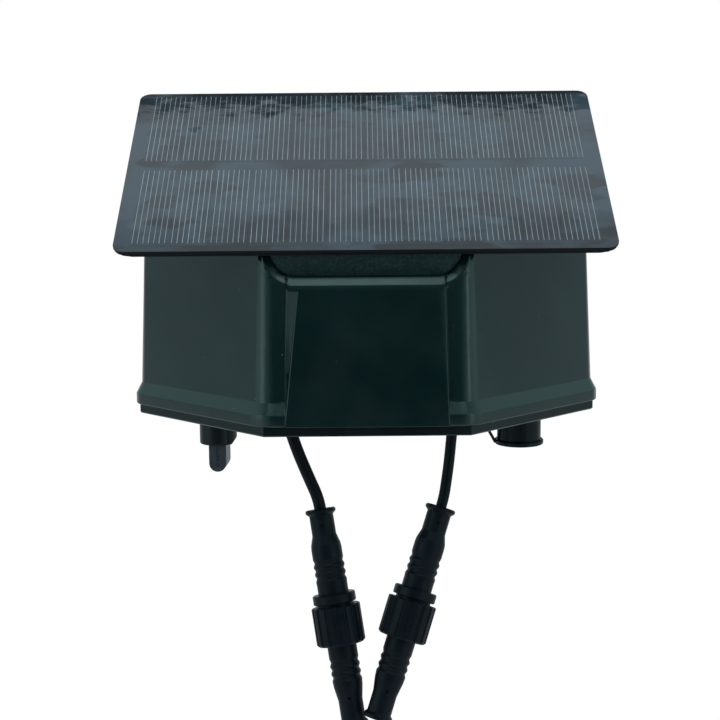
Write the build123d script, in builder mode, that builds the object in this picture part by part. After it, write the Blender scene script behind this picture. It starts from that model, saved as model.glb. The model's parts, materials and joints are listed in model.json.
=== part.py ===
from build123d import *
import os
from math import atan, cos, degrees, radians, sin, sqrt, tan

# Drip irrigation timer: a green half-octagon housing that hangs on a wall, with a sloping
# solar panel for a roof, a selector dial, a capped port and two pigtails under its base.
# Millimetres. X to the right, Y towards the wall, Z up. The origin lies on the flat back,
# midway between the two keyholes. A "height" is measured up from the bottom of the base.

# housing
BODY_WIDTH = 214.0          # across the skirt
BODY_DEPTH = 93.5           # skirt front to the wall
FACE_WIDTH = 89.7           # flat front between the two slanting sides
CORNER_ROUND = 14.0         # front corners of the hood, at the skirt's outline
SHOULDER_ROUND = 8.5        # where a slanting side meets a straight one
LEAST_ROUND = 1.2
HANG_HEIGHT = 105.0         # keyholes above the bottom of the base
WALL = 2.6
DRAFT = 2.56                # degrees, all walls but the back
WALL_STEP = 0.4             # wall foot inside the skirt's outline
LIP_LOW = 4.4               # underside of the hood, on top of the skirt
LIP_BAND = 5.1
LIP_FLARE = 5.2
LIP_PROUD = 1.9
LIP_ROUND = 0.8

# raised front boss and the notch above it
BOSS_PROUD = 2.3
BOSS_FOOT_LOW = 35.8        # half width where the boss leaves the wall, at the lip
BOSS_FOOT_HIGH = 33.9       # the same at the notch
BOSS_FLANK_LOW = 0.6        # width of the sloping flank, at the lip
BOSS_FLANK_HIGH = 5.2
NOTCH_BOTTOM = 65.2         # where the ramp starts, on the face of the wall
NOTCH_HALF = 37.6
NOTCH_ANGLE = 52.5          # degrees, side of the notch from level
NOTCH_ROUND = 14.0
NOTCH_RAMP = 1.1            # rise of the ramp for each millimetre inwards
NOTCH_DEPTH = 7.2           # past the skirt's front
BOSS_RAMP = 0.08            # rise of the boss's top for each millimetre inwards

# solar panel
PANEL_WIDTH = 213.0
PANEL_LENGTH = 118.0
PANEL_SLOPE = 35.9          # degrees
PANEL_FRONT_HEIGHT = 80.3
PANEL_OVERHANG = 4.0        # past the skirt's front
PANEL_ROUND = 5.0
BOARD_THICK = 1.0
TRAY_THICK = 1.4
TRAY_INSET = 0.3
TRAY_ROUND = 0.5
CELLS_ACROSS = 12
CELL_WIDTH = 16.0
CELL_GAP = 0.67
CELL_LENGTH = 51.6
CELL_ROW_GAP = 8.3
CELL_THICK = 0.2

# lid, its ledge inside the hood and its apron in the notch
LEDGE_WIDTH = 6.0
LEDGE_THICK = 2.4
LEDGE_DEPTH = 6.0           # ledge top under the rim
LID_SEAL_THICK = 1.0
LID_SKIN = 2.4
LID_RIM_WIDTH = 7.0
LID_GAP = 0.4
APRON_THICK = 2.4
APRON_LOW = 67.4
APRON_LOW_HALF = 36.0
APRON_ANGLE = 62.0          # degrees, side of the apron from level
APRON_ROUND = 8.0
APRON_GAP = 0.45
APRON_WAY_LOW = 73.0        # the way through the ledge starts at this height
APRON_WAY_HALF = 46.0
APRON_WAY_FRONT = 1.8       # way ahead of the apron's face
LID_SCREW_DROP = 18.0       # rear pair of lid screws, from the wall
LID_SCREW_FRONT = 62.0      # front pair of lid screws, from the wall
SCREW_SHANK = 1.4
SCREW_HEAD = 2.7
SCREW_HEAD_THICK = 1.8
SCREW_SLIP = 0.25

# base
BASE_SKIN = 2.4
SKIRT_ROUND = 1.5
SKIRT_CHAMFER = 0.6
GASKET_OUT = 0.9
GASKET_IN = 2.2
GASKET_THICK = 1.2
TONGUE_GAP = 0.3
TONGUE_THICK = 1.8
TONGUE_TOP = 12.0
POST_RADIUS = 4.0
POST_TOP = 34.0
POST_INSET = 6.8            # post centre from the skirt's outline
POST_FRONT_X = 30.0
POST_BACK_Y = 12.0          # rear posts, from the wall
POST_GAP = 0.1
PILOT_DEPTH = 14.0

# keyholes in the back
KEYHOLE_SPACING = 80.0
KEYHOLE_ENTRY = 4.25
KEYHOLE_SLOT = 2.25         # half width
KEYHOLE_RISE = 9.0
KEYHOLE_ROOM = 4.75         # radius of the pocket behind
KEYHOLE_ROOM_DEPTH = 4.0
KEYHOLE_PAD_WALL = 2.2

# electronics
PCB_WIDTH = 112.0
PCB_DEPTH = 54.0
PCB_THICK = 1.6
PCB_HEIGHT = 18.0
PCB_FROM_WALL = 44.0        # board centre
PCB_ROUND = 2.0
PCB_POST_RADIUS = 3.0
PCB_HOLE_INSET = 4.0
PCB_SCREW_LENGTH = 8.0
CHIP_SIZE = (12.0, 8.0, 2.2)
RELAY_SIZE = (19.0, 15.5, 15.0)
CAPACITOR_RADIUS = 5.0
CAPACITOR_HEIGHT = 14.0
BUZZER_RADIUS = 6.0
BUZZER_HEIGHT = 9.0
HEADER_SIZE = (9.0, 6.0, 7.5)

# battery holder on the back wall
AA_RADIUS = 7.1
AA_LENGTH = 50.0
AA_NUB_RADIUS = 2.6
AA_NUB = 1.0
AA_COUNT = 3
AA_PITCH = 15.4
AA_SLIP = 0.3
HOLDER_WALL = 1.6
HOLDER_END_ROOM = 1.2       # room for a contact at each end
HOLDER_MIDDLE = 66.0        # height
HOLDER_EAR = 8.0
HOLDER_POST_RADIUS = 3.5
HOLDER_POST = 4.0
CONTACT_THICK = 0.5
CONTACT_SIZE = 10.0

# selector dial
DIAL_X = -69.05
DIAL_FROM_WALL = 43.5
DIAL_RADIUS = 8.6
DIAL_GAP = 0.8              # dial under the base
DIAL_SKIRT = 11.35
DIAL_EDGE = 0.7
DIAL_ROOM_RADIUS = 6.6
DIAL_ROOM_DEPTH = 5.4
DIAL_SPINDLE_WALL = 2.3     # hub round the spindle inside the dial's room
DIAL_REST_ANGLE = 1.0       # degrees
GRIP_HALF = 3.95
GRIP_REACH = 7.4
GRIP_BACK_REACH = 7.0
GRIP_BACK_HALF = 4.9        # grip widens towards its back
GRIP_STRAIGHT = 20.5        # grip's straight sides, below the base
BEVEL_WIDTH = 2.2
BEVEL_HEIGHT = 3.2
MARK_WIDTH = 1.0
MARK_DEPTH = 0.5
MARK_LOW = 19.6
DOT_RADIUS = 0.95
DOT_LOW = 21.2
SPINDLE_RADIUS = 3.0
SPINDLE_SLIP = 0.05
SPINDLE_LOW = 13.0
ROTOR_RADIUS = 6.0
ROTOR_THICK = 3.0
BUSH_RADIUS = 3.5
BUSH_LOW = 4.6
BUSH_HOLE = 3.7
SWITCH_SIZE = 16.0
SWITCH_HEIGHT = 9.0
SWITCH_FLOOR = 2.0
SWITCH_ROOM_RADIUS = 6.6
SWITCH_ROOM_HEIGHT = 5.0
SWITCH_SEAL_THICK = 0.8
SWITCH_SEAL_RADIUS = 6.0
SWITCH_NUT_ACROSS = 10.0
SWITCH_NUT_THICK = 2.4

# capped port
PORT_X = 70.7
PORT_FROM_WALL = 43.5
PORT_COLLAR_RADIUS = 8.7
PORT_COLLAR_LOW = 10.4
PORT_HOLE_RADIUS = 8.9
PORT_BORE_RADIUS = 5.0
PORT_BORE_DEPTH = 9.0
PORT_FLANGE_REACH = 16.0
PORT_FLANGE_HALF = 10.0
PORT_FLANGE_THICK = 2.2
PORT_BACK_RADIUS = 7.5
PORT_BACK_HEIGHT = 8.0
PORT_PIN_RADIUS = 1.2
PORT_PIN_LOW = 4.0
PORT_PIN_HIGH = 17.0
PORT_SCREW_REACH = 12.4
PORT_PAD_RADIUS = 3.2
PORT_PAD_HEIGHT = 4.4
CAP_RADIUS = 10.1
CAP_SLIP = 0.06
CAP_RIM_RADIUS = 11.35
CAP_RIM = 2.2
CAP_LOW = 13.6
CAP_GAP = 0.4
CAP_EDGE = 0.4
TETHER_WIDTH = 5.0
TETHER_THICK = 1.2
TETHER_ANCHOR = 17.5        # anchor from the cap's axis
TETHER_STUD = 1.5
TETHER_DROP = 11.3          # strap's inner face from the cap's axis

# pigtails
LEFT_CABLE_RADIUS = 2.75
RIGHT_CABLE_RADIUS = 2.45
GROMMET_NECK = 4.6
GROMMET_FLANGE = 6.4
GROMMET_FLANGE_THICK = 1.6
GROMMET_TIP = 3.5
GROMMET_SLIP = 0.1
CORNER_SHARE = 0.45         # share of a run between two corners that an arc takes
END_SHARE = 0.9             # share of the first and the last run

# points of each pigtail from its grommet to its connector: x, y from the wall, height
LEFT_ROUTE = (
    (-33.97, 63.50, -4.60),
    (-31.95, 63.60, -10.94),
    (-29.05, 64.10, -18.23),
    (-25.96, 64.95, -25.45),
    (-22.15, 66.50, -33.85),
)
RIGHT_ROUTE = (
    (38.14, 63.50, -5.15),
    (37.51, 63.65, -12.01),
    (36.70, 64.35, -19.22),
    (35.58, 65.60, -26.54),
    (34.37, 67.57, -33.34),
)
LEFT_PLUG_TOP = (-21.47, 67.40, -38.21)
RIGHT_PLUG_TOP = (33.00, 68.70, -37.48)

# two-pin screw connector: distances run down its axis from the top of the upper boot
BOOT_RIM_RADIUS = 6.85
BOOT_RIM = 1.6
BOOT_NECK_RADIUS = 5.45
BOOT_NECK_START = 2.9
BOOT_NECK_END = 11.8
BODY_RADIUS = 6.88
BODY_START = 17.9
RIB_START = 22.4
RIB_PITCH = 3.36
RIB_COUNT = 3
RIB_DEPTH = 0.45
RIB_GROOVE = 0.4
RIB_CREST = 0.1
RIB_LAND = 0.7
COLLAR_START = 38.2
COLLAR_LENGTH = 4.3
COLLAR_RADIUS = 9.65
BARREL_RADIUS = 8.0
BARREL_END = 54.4
BARREL_BORE = 6.1
BARREL_FLOOR = 43.0
NUT_START = 43.7
NUT_LENGTH = 17.2
NUT_RADIUS = 11.0
NUT_BORE_SLIP = 0.1
NUT_SHOULDER = 3.4
NUT_SHOULDER_SLIP = 0.35
NUT_FLUTES = 16
NUT_FLUTE_RADIUS = 0.95
NUT_FLUTE_OUT = 0.25
NUT_CHAMFER = 0.9
NUT_TOP_EDGE = 0.4
NOSE_START = 43.4
NOSE_RADIUS = 5.7
KEEPER_START = 54.9
KEEPER_RADIUS = 7.8
KEEPER_THICK = 2.2
LOWER_RADIUS = 6.6
LOWER_RIM_RADIUS = 6.5
LOWER_RIB_START = 67.1
LOWER_TAPER_START = 79.9
LOWER_NECK_START = 86.0
CONNECTOR_LENGTH = 97.6
LEAD_BORE_RADIUS = 2.6
LEAD_BORE_DEPTH = 8.0
PIN_RADIUS = 1.0
PIN_SPACING = 5.0
PIN_START = 37.2
PIN_END = 51.5
PIN_SLIP = 0.05
SEAL_RADIUS = 0.6
SEAL_PLACE = 48.0
SEAL_GROOVE = 0.75
DIMPLE_RADIUS = 0.8
DIMPLE_DEPTH = 0.7
DIMPLE_PLACE = 7.4
LOWER_DIMPLE_PLACE = 13.0    # from the lower end


def level(height):
    """Z of a height above the bottom of the base."""
    return height - HANG_HEIGHT


def inward(height):
    """How far the drafted wall stands inside the skirt's outline."""
    return WALL_STEP + (height - LIP_LOW) * tan(radians(DRAFT))


def rim_height(y):
    """Height of the hood's sloping rim, under the panel tray."""
    run = y + BODY_DEPTH + PANEL_OVERHANG
    slope = radians(PANEL_SLOPE)
    return PANEL_FRONT_HEIGHT + run * tan(slope) - PANEL_THICK / cos(slope)


def plan(height, inset, back=None, corner=CORNER_ROUND, shoulder=SHOULDER_ROUND):
    """Half-octagon outline at a height, moved in from the skirt's outline by inset."""
    back = -inset if back is None else back
    half = BODY_WIDTH / 2 - inset
    face = FACE_WIDTH / 2 - inset * tan(radians(22.5))
    front = -BODY_DEPTH + inset
    side = front + half - face
    with BuildSketch(Plane.XY.offset(level(height))) as outline:
        with BuildLine():
            Polyline(
                (-half, back),
                (-half, side),
                (-face, front),
                (face, front),
                (half, side),
                (half, back),
                close=True,
            )
        make_face()
        fillet(outline.vertices().group_by(Axis.Y)[0], max(corner - inset, LEAST_ROUND))
        fillet(outline.vertices().group_by(Axis.Y)[-2], max(shoulder - inset, LEAST_ROUND))
    return outline.sketch


def walls(inset, low=None):
    """Outlines of a drafted wall at its foot and its top, moved in by inset all round."""
    low = LIP_LOW if low is None else low
    return [
        plan(low, inset + inward(low), -inset),
        plan(HOOD_TOP, inset + inward(HOOD_TOP), -inset),
    ]


def boss_section(height):
    """Plan of the raised front boss at a height: its flanks widen towards the top."""
    share = (height - LIP_LOW) / (NOTCH_BOTTOM - LIP_LOW)
    foot = BOSS_FOOT_LOW + share * (BOSS_FOOT_HIGH - BOSS_FOOT_LOW)
    top = foot - BOSS_FLANK_LOW - share * (BOSS_FLANK_HIGH - BOSS_FLANK_LOW)
    wall = -BODY_DEPTH + inward(height)
    front = -BODY_DEPTH - BOSS_PROUD
    with BuildSketch(Plane.XY.offset(level(height))) as section:
        with BuildLine():
            Polyline(
                (-foot, wall + 1),
                (-foot, wall),
                (-top, front),
                (top, front),
                (foot, wall),
                (foot, wall + 1),
                close=True,
            )
        make_face()
    return section.sketch


def trapezium(distance, low, low_half, angle, high, corner):
    """Sketch on an upright plane in front of the wall: wide at the top, round below."""
    slant = (high - low) / tan(radians(angle))
    with BuildSketch(Plane.XZ.offset(distance)) as shape:
        with BuildLine():
            Polyline(
                (-low_half, level(low)),
                (low_half, level(low)),
                (low_half + slant, level(high)),
                (-low_half - slant, level(high)),
                close=True,
            )
        make_face()
        fillet(shape.vertices().group_by(Axis.Z)[0], corner)
    return shape.sketch


def ledge_middle(y):
    """X of the middle of the lid's ledge at a given y."""
    inset = inward(rim_height(y)) + WALL + LEDGE_WIDTH / 2
    straight = BODY_WIDTH / 2 - inset
    slanting = y + BODY_DEPTH + FACE_WIDTH / 2 - inset * sqrt(2)
    return min(straight, slanting)


def on_rim(y):
    """Distance up the panel's slope that stands over a given y on the rim."""
    return (y + BODY_DEPTH + PANEL_OVERHANG) / cos(radians(PANEL_SLOPE)) - PANEL_THICK * tan(
        radians(PANEL_SLOPE)
    )


PANEL_THICK = BOARD_THICK + TRAY_THICK
HOOD_TOP = rim_height(0) + 6.0
LIP_TOP = LIP_LOW + LIP_BAND
FLARE_TOP = LIP_TOP + LIP_FLARE
panel_plane = Plane(
    origin=(0, -BODY_DEPTH - PANEL_OVERHANG, level(PANEL_FRONT_HEIGHT)),
    x_dir=(1, 0, 0),
    z_dir=(0, -sin(radians(PANEL_SLOPE)), cos(radians(PANEL_SLOPE))),
)
rim_plane = panel_plane.offset(-PANEL_THICK)
ledge_plane = rim_plane.offset(-LEDGE_DEPTH)
lid_screw_spots = [
    (side * ledge_middle(-from_wall), on_rim(-from_wall))
    for side in (-1, 1)
    for from_wall in (LID_SCREW_DROP, LID_SCREW_FRONT)
]
post_spots = [
    (-BODY_WIDTH / 2 + POST_INSET, -POST_BACK_Y),
    (BODY_WIDTH / 2 - POST_INSET, -POST_BACK_Y),
    (-POST_FRONT_X, -BODY_DEPTH + POST_INSET),
    (POST_FRONT_X, -BODY_DEPTH + POST_INSET),
]
keyhole_spots = [(-KEYHOLE_SPACING / 2, 0), (KEYHOLE_SPACING / 2, 0)]

# ---------------------------------------------------------------- hood and its rooms

with BuildPart() as main_room:
    loft(walls(WALL, 0), ruled=True)
    split(bisect_by=ledge_plane.offset(-LEDGE_THICK), keep=Keep.BOTTOM)

with BuildPart() as lid_room:
    loft(walls(WALL, 0), ruled=True)
    split(bisect_by=ledge_plane, keep=Keep.TOP)

with BuildPart() as ledge_throat:
    loft(walls(WALL + LEDGE_WIDTH), ruled=True)
    split(bisect_by=ledge_plane.offset(LEDGE_THICK), keep=Keep.BOTTOM)
    split(bisect_by=ledge_plane.offset(-2 * LEDGE_THICK), keep=Keep.TOP)

apron_face = BODY_DEPTH - WALL - inward(PANEL_FRONT_HEIGHT) - APRON_GAP
holder_half = AA_LENGTH / 2 + AA_NUB + HOLDER_END_ROOM + HOLDER_WALL
ear_spots = [
    (-holder_half - HOLDER_EAR / 2, level(HOLDER_MIDDLE)),
    (holder_half + HOLDER_EAR / 2, level(HOLDER_MIDDLE)),
]

with BuildPart() as hood_shell:
    # drafted walls under a flared lip
    loft(walls(0), ruled=True)
    split(bisect_by=rim_plane, keep=Keep.BOTTOM)
    extrude(plan(LIP_LOW, -LIP_PROUD, 0), LIP_BAND)
    lip_edges = hood_shell.edges().group_by(Axis.Z)[0]
    fillet(lip_edges.filter_by(lambda edge: edge.center().Y < -1), LIP_ROUND)
    loft([plan(LIP_TOP, -LIP_PROUD, 0), plan(FLARE_TOP, inward(FLARE_TOP), 0)], ruled=True)
    loft([boss_section(LIP_LOW), boss_section(NOTCH_BOTTOM + 5)], ruled=True)
    # rooms
    add(main_room.part, mode=Mode.SUBTRACT)
    add(lid_room.part, mode=Mode.SUBTRACT)
    add(ledge_throat.part, mode=Mode.SUBTRACT)
    # notch: nearly level through the boss, then a ramp through the wall
    boss_depth = BOSS_PROUD + inward(NOTCH_BOTTOM)
    boss_top = NOTCH_BOTTOM - BOSS_RAMP * boss_depth
    extrude(
        trapezium(
            BODY_DEPTH + BOSS_PROUD, boss_top, NOTCH_HALF, NOTCH_ANGLE, HOOD_TOP, NOTCH_ROUND
        ),
        -boss_depth,
        taper=degrees(atan(BOSS_RAMP)),
        mode=Mode.SUBTRACT,
    )
    notch_face = BODY_DEPTH - inward(NOTCH_BOTTOM)
    extrude(
        trapezium(notch_face, NOTCH_BOTTOM, NOTCH_HALF, NOTCH_ANGLE, HOOD_TOP, NOTCH_ROUND),
        inward(NOTCH_BOTTOM) - NOTCH_DEPTH,
        taper=degrees(atan(NOTCH_RAMP)),
        mode=Mode.SUBTRACT,
    )
    # way through the ledge for the apron
    with BuildSketch(Plane.XY.offset(level(APRON_WAY_LOW))) as apron_way:
        with Locations((0, (APRON_THICK - APRON_WAY_FRONT + APRON_GAP) / 2 - apron_face)):
            Rectangle(2 * APRON_WAY_HALF, APRON_THICK + APRON_WAY_FRONT + APRON_GAP)
    extrude(amount=HOOD_TOP - APRON_WAY_LOW, mode=Mode.SUBTRACT)
    # posts for the base screws
    with BuildSketch(Plane.XY.offset(level(LIP_LOW))) as post_feet:
        with Locations(*post_spots):
            Circle(POST_RADIUS)
    extrude(amount=POST_TOP - LIP_LOW)
    with BuildSketch(Plane.XY.offset(level(LIP_LOW))) as post_pilots:
        with Locations(*post_spots):
            Circle(SCREW_SHANK)
    extrude(amount=PILOT_DEPTH, mode=Mode.SUBTRACT)
    # slip holes for the lid screws
    with BuildSketch(ledge_plane) as ledge_holes:
        with Locations(*lid_screw_spots):
            Circle(SCREW_SHANK + SCREW_SLIP)
    extrude(amount=-LEDGE_THICK - 1, mode=Mode.SUBTRACT)
    # keyhole pads, keyholes and the pockets behind them
    pad_depth = WALL + KEYHOLE_ROOM_DEPTH + KEYHOLE_PAD_WALL
    with BuildSketch(Plane.XZ) as pads:
        with Locations(*[(x, KEYHOLE_RISE / 2) for x, z in keyhole_spots]):
            Rectangle(
                2 * (KEYHOLE_ROOM + KEYHOLE_PAD_WALL),
                KEYHOLE_RISE + 2 * (KEYHOLE_ROOM + KEYHOLE_PAD_WALL),
            )
    extrude(amount=pad_depth)
    with BuildSketch(Plane.XZ) as keyholes:
        with Locations(*keyhole_spots):
            Circle(KEYHOLE_ENTRY)
        with Locations(*[(x, KEYHOLE_RISE / 2) for x, z in keyhole_spots]):
            Rectangle(2 * KEYHOLE_SLOT, KEYHOLE_RISE)
        with Locations(*[(x, KEYHOLE_RISE) for x, z in keyhole_spots]):
            Circle(KEYHOLE_SLOT)
    extrude(amount=WALL + 0.1, mode=Mode.SUBTRACT)
    with BuildSketch(Plane.XZ.offset(WALL)) as pockets:
        with Locations(*[(x, KEYHOLE_RISE / 2) for x, z in keyhole_spots]):
            SlotOverall(KEYHOLE_RISE + 2 * KEYHOLE_ROOM, 2 * KEYHOLE_ROOM, rotation=90)
    extrude(amount=KEYHOLE_ROOM_DEPTH, mode=Mode.SUBTRACT)
    # posts for the battery holder
    with BuildSketch(Plane.XZ.offset(WALL - 0.2)) as ear_posts:
        with Locations(*ear_spots):
            Circle(HOLDER_POST_RADIUS)
    extrude(amount=HOLDER_POST + 0.2)
    with BuildSketch(Plane.XZ.offset(WALL)) as ear_pilots:
        with Locations(*ear_spots):
            Circle(SCREW_SHANK)
    extrude(amount=HOLDER_POST, mode=Mode.SUBTRACT)
hood_shell.part.label = "hood_shell"
export_step(hood_shell.part, "parts/hood_shell.step")

# ---------------------------------------------------------------- lid and solar panel

with BuildPart() as lid_hollow:
    loft(walls(WALL + LID_RIM_WIDTH), ruled=True)
    split(bisect_by=rim_plane.offset(-LID_SKIN), keep=Keep.BOTTOM)

with BuildPart() as panel_carrier:
    loft(walls(WALL + LID_GAP), ruled=True)
    split(bisect_by=ledge_plane.offset(LID_SEAL_THICK), keep=Keep.TOP)
    add(lid_hollow.part, mode=Mode.SUBTRACT)
    extrude(
        trapezium(
            apron_face, APRON_LOW, APRON_LOW_HALF, APRON_ANGLE, PANEL_FRONT_HEIGHT + 6, APRON_ROUND
        ),
        -APRON_THICK,
    )
    split(bisect_by=rim_plane, keep=Keep.BOTTOM)
    with BuildSketch(ledge_plane.offset(LID_SEAL_THICK)) as lid_pilots:
        with Locations(*lid_screw_spots):
            Circle(SCREW_SHANK)
    extrude(amount=LEDGE_DEPTH - LID_SEAL_THICK - 1, mode=Mode.SUBTRACT)
panel_carrier.part.label = "panel_carrier"
export_step(panel_carrier.part, "parts/panel_carrier.step")

with BuildPart() as lid_seal:
    loft(walls(WALL + LID_GAP), ruled=True)
    split(bisect_by=ledge_plane, keep=Keep.TOP)
    split(bisect_by=ledge_plane.offset(LID_SEAL_THICK), keep=Keep.BOTTOM)
    loft(walls(WALL + LEDGE_WIDTH), ruled=True, mode=Mode.SUBTRACT)
    with BuildSketch(Plane.XY.offset(level(APRON_WAY_LOW))) as seal_way:
        with Locations((0, (APRON_THICK - APRON_WAY_FRONT + APRON_GAP) / 2 - apron_face)):
            Rectangle(2 * APRON_WAY_HALF, APRON_THICK + APRON_WAY_FRONT + APRON_GAP)
    extrude(amount=HOOD_TOP - APRON_WAY_LOW, mode=Mode.SUBTRACT)
    with BuildSketch(ledge_plane) as seal_holes:
        with Locations(*lid_screw_spots):
            Circle(SCREW_SHANK + SCREW_SLIP)
    extrude(amount=LID_SEAL_THICK, mode=Mode.SUBTRACT)
lid_seal.part.label = "lid_seal"
export_step(lid_seal.part, "parts/lid_seal.step")

with BuildPart() as lid_screws:
    with BuildSketch(ledge_plane.offset(-LEDGE_THICK)) as lid_heads:
        with Locations(*lid_screw_spots):
            Circle(SCREW_HEAD)
    extrude(amount=-SCREW_HEAD_THICK)
    with BuildSketch(ledge_plane.offset(-LEDGE_THICK)) as lid_shanks:
        with Locations(*lid_screw_spots):
            Circle(SCREW_SHANK - PIN_SLIP)
    extrude(amount=LEDGE_THICK + LEDGE_DEPTH - 1.2)
lid_screws.part.label = "lid_screws"
export_step(lid_screws.part, "parts/lid_screws.step")

with BuildPart() as panel_tray:
    with BuildSketch(rim_plane) as tray_outline:
        with Locations((0, PANEL_LENGTH / 2)):
            RectangleRounded(
                PANEL_WIDTH - 2 * TRAY_INSET, PANEL_LENGTH - 2 * TRAY_INSET, PANEL_ROUND
            )
    extrude(amount=TRAY_THICK)
    under_tray = panel_tray.faces().sort_by(Axis(rim_plane.origin, rim_plane.z_dir))[0]
    fillet(under_tray.edges(), TRAY_ROUND)
panel_tray.part.label = "panel_tray"
export_step(panel_tray.part, "parts/panel_tray.step")

with BuildPart() as panel_board:
    with BuildSketch(panel_plane.offset(-BOARD_THICK)) as board_outline:
        with Locations((0, PANEL_LENGTH / 2)):
            RectangleRounded(PANEL_WIDTH, PANEL_LENGTH, PANEL_ROUND)
    extrude(amount=BOARD_THICK)
panel_board.part.label = "panel_board"
export_step(panel_board.part, "parts/panel_board.step")

with BuildPart() as solar_cells:
    with BuildSketch(panel_plane) as cell_tiles:
        with Locations((0, PANEL_LENGTH / 2)):
            with GridLocations(
                CELL_WIDTH + CELL_GAP, CELL_LENGTH + CELL_ROW_GAP, CELLS_ACROSS, 2
            ):
                Rectangle(CELL_WIDTH, CELL_LENGTH)
    extrude(amount=CELL_THICK)
solar_cells.part.label = "solar_cells"
export_step(solar_cells.part, "parts/solar_cells.step")

# ---------------------------------------------------------------- base

tongue_inset = WALL + inward(TONGUE_TOP) + TONGUE_GAP
tongue_back = -WALL - TONGUE_GAP
pcb_spots = [
    (
        side * (PCB_WIDTH / 2 - PCB_HOLE_INSET),
        -PCB_FROM_WALL + end * (PCB_DEPTH / 2 - PCB_HOLE_INSET),
    )
    for side in (-1, 1)
    for end in (-1, 1)
]
port_screw_spots = [
    (
        PORT_X + end * PORT_SCREW_REACH / sqrt(2),
        -PORT_FROM_WALL + end * PORT_SCREW_REACH / sqrt(2),
    )
    for end in (-1, 1)
]


def gland_centre(route):
    """Point where a pigtail's first run, carried back, meets the bottom of the base."""
    start, following = route[0], route[1]
    share = -start[2] / (start[2] - following[2])
    x = start[0] + share * (start[0] - following[0])
    from_wall = start[1] + share * (start[1] - following[1])
    return (x, -from_wall)


gland_spots = [gland_centre(LEFT_ROUTE), gland_centre(RIGHT_ROUTE)]
anchor_spot = (PORT_X - TETHER_ANCHOR, -PORT_FROM_WALL)

with BuildPart() as base_tray:
    extrude(plan(0, 0, 0, SKIRT_ROUND, SKIRT_ROUND), LIP_LOW)
    low_edges = base_tray.edges().group_by(Axis.Z)[0]
    chamfer(low_edges.filter_by(lambda edge: edge.center().Y < -1), SKIRT_CHAMFER)
    groove_low = LIP_LOW - GASKET_THICK
    extrude(plan(groove_low, GASKET_OUT), GASKET_THICK, mode=Mode.SUBTRACT)
    extrude(plan(groove_low, GASKET_IN), GASKET_THICK)
    extrude(plan(BASE_SKIN, tongue_inset, tongue_back), TONGUE_TOP - BASE_SKIN)
    tongue_hollow = plan(BASE_SKIN, tongue_inset + TONGUE_THICK, tongue_back - TONGUE_THICK)
    extrude(tongue_hollow, TONGUE_TOP, mode=Mode.SUBTRACT)
    # room for the hood's posts, and the pads that they stand on
    with BuildSketch(Plane.XY.offset(level(BASE_SKIN))) as post_room:
        with Locations(*post_spots):
            Circle(POST_RADIUS + TONGUE_GAP)
    extrude(amount=TONGUE_TOP, mode=Mode.SUBTRACT)
    with BuildSketch(Plane.XY.offset(level(BASE_SKIN))) as post_pads:
        with Locations(*post_spots):
            Circle(POST_RADIUS + TONGUE_GAP)
    extrude(amount=LIP_LOW - BASE_SKIN - POST_GAP)
    with BuildSketch(Plane.XY.offset(level(0))) as base_head_rooms:
        with Locations(*post_spots):
            Circle(SCREW_HEAD + SCREW_SLIP)
    extrude(amount=SCREW_HEAD_THICK + SCREW_SLIP, mode=Mode.SUBTRACT)
    with BuildSketch(Plane.XY.offset(level(0))) as base_screw_holes:
        with Locations(*post_spots):
            Circle(SCREW_SHANK + SCREW_SLIP)
    extrude(amount=LIP_LOW, mode=Mode.SUBTRACT)
    # posts for the control board
    with BuildSketch(Plane.XY.offset(level(BASE_SKIN))) as board_posts:
        with Locations(*pcb_spots):
            Circle(PCB_POST_RADIUS)
    extrude(amount=PCB_HEIGHT - BASE_SKIN)
    # pads for the port's screws, with blind holes
    with BuildSketch(Plane.XY.offset(level(BASE_SKIN))) as port_pads:
        with Locations(*port_screw_spots):
            Circle(PORT_PAD_RADIUS)
    extrude(amount=PORT_PAD_HEIGHT - BASE_SKIN)
    with BuildSketch(Plane.XY.offset(level(PORT_PAD_HEIGHT))) as port_pilots:
        with Locations(*port_screw_spots):
            Circle(SCREW_SHANK)
    extrude(amount=1 - PORT_PAD_HEIGHT, mode=Mode.SUBTRACT)
    with BuildSketch(Plane.XY.offset(level(PCB_HEIGHT))) as board_pilots:
        with Locations(*pcb_spots):
            Circle(SCREW_SHANK)
    extrude(amount=-PCB_SCREW_LENGTH, mode=Mode.SUBTRACT)
    # holes for the dial's bush, the port, the pigtails and the tether
    with BuildSketch(Plane.XY.offset(level(0))) as base_holes:
        with Locations((DIAL_X, -DIAL_FROM_WALL)):
            Circle(BUSH_HOLE)
        with Locations((PORT_X, -PORT_FROM_WALL)):
            Circle(PORT_HOLE_RADIUS)
        with Locations(*gland_spots):
            Circle(GROMMET_NECK + GROMMET_SLIP)
        with Locations(anchor_spot):
            Circle(TETHER_STUD + GROMMET_SLIP)
    extrude(amount=BASE_SKIN, mode=Mode.SUBTRACT)
base_tray.part.label = "base_tray"
export_step(base_tray.part, "parts/base_tray.step")

with BuildPart() as base_gasket:
    extrude(plan(groove_low, GASKET_OUT + PIN_SLIP), GASKET_THICK)
    extrude(plan(groove_low, GASKET_IN - PIN_SLIP), GASKET_THICK, mode=Mode.SUBTRACT)
base_gasket.part.label = "base_gasket"
export_step(base_gasket.part, "parts/base_gasket.step")

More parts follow.
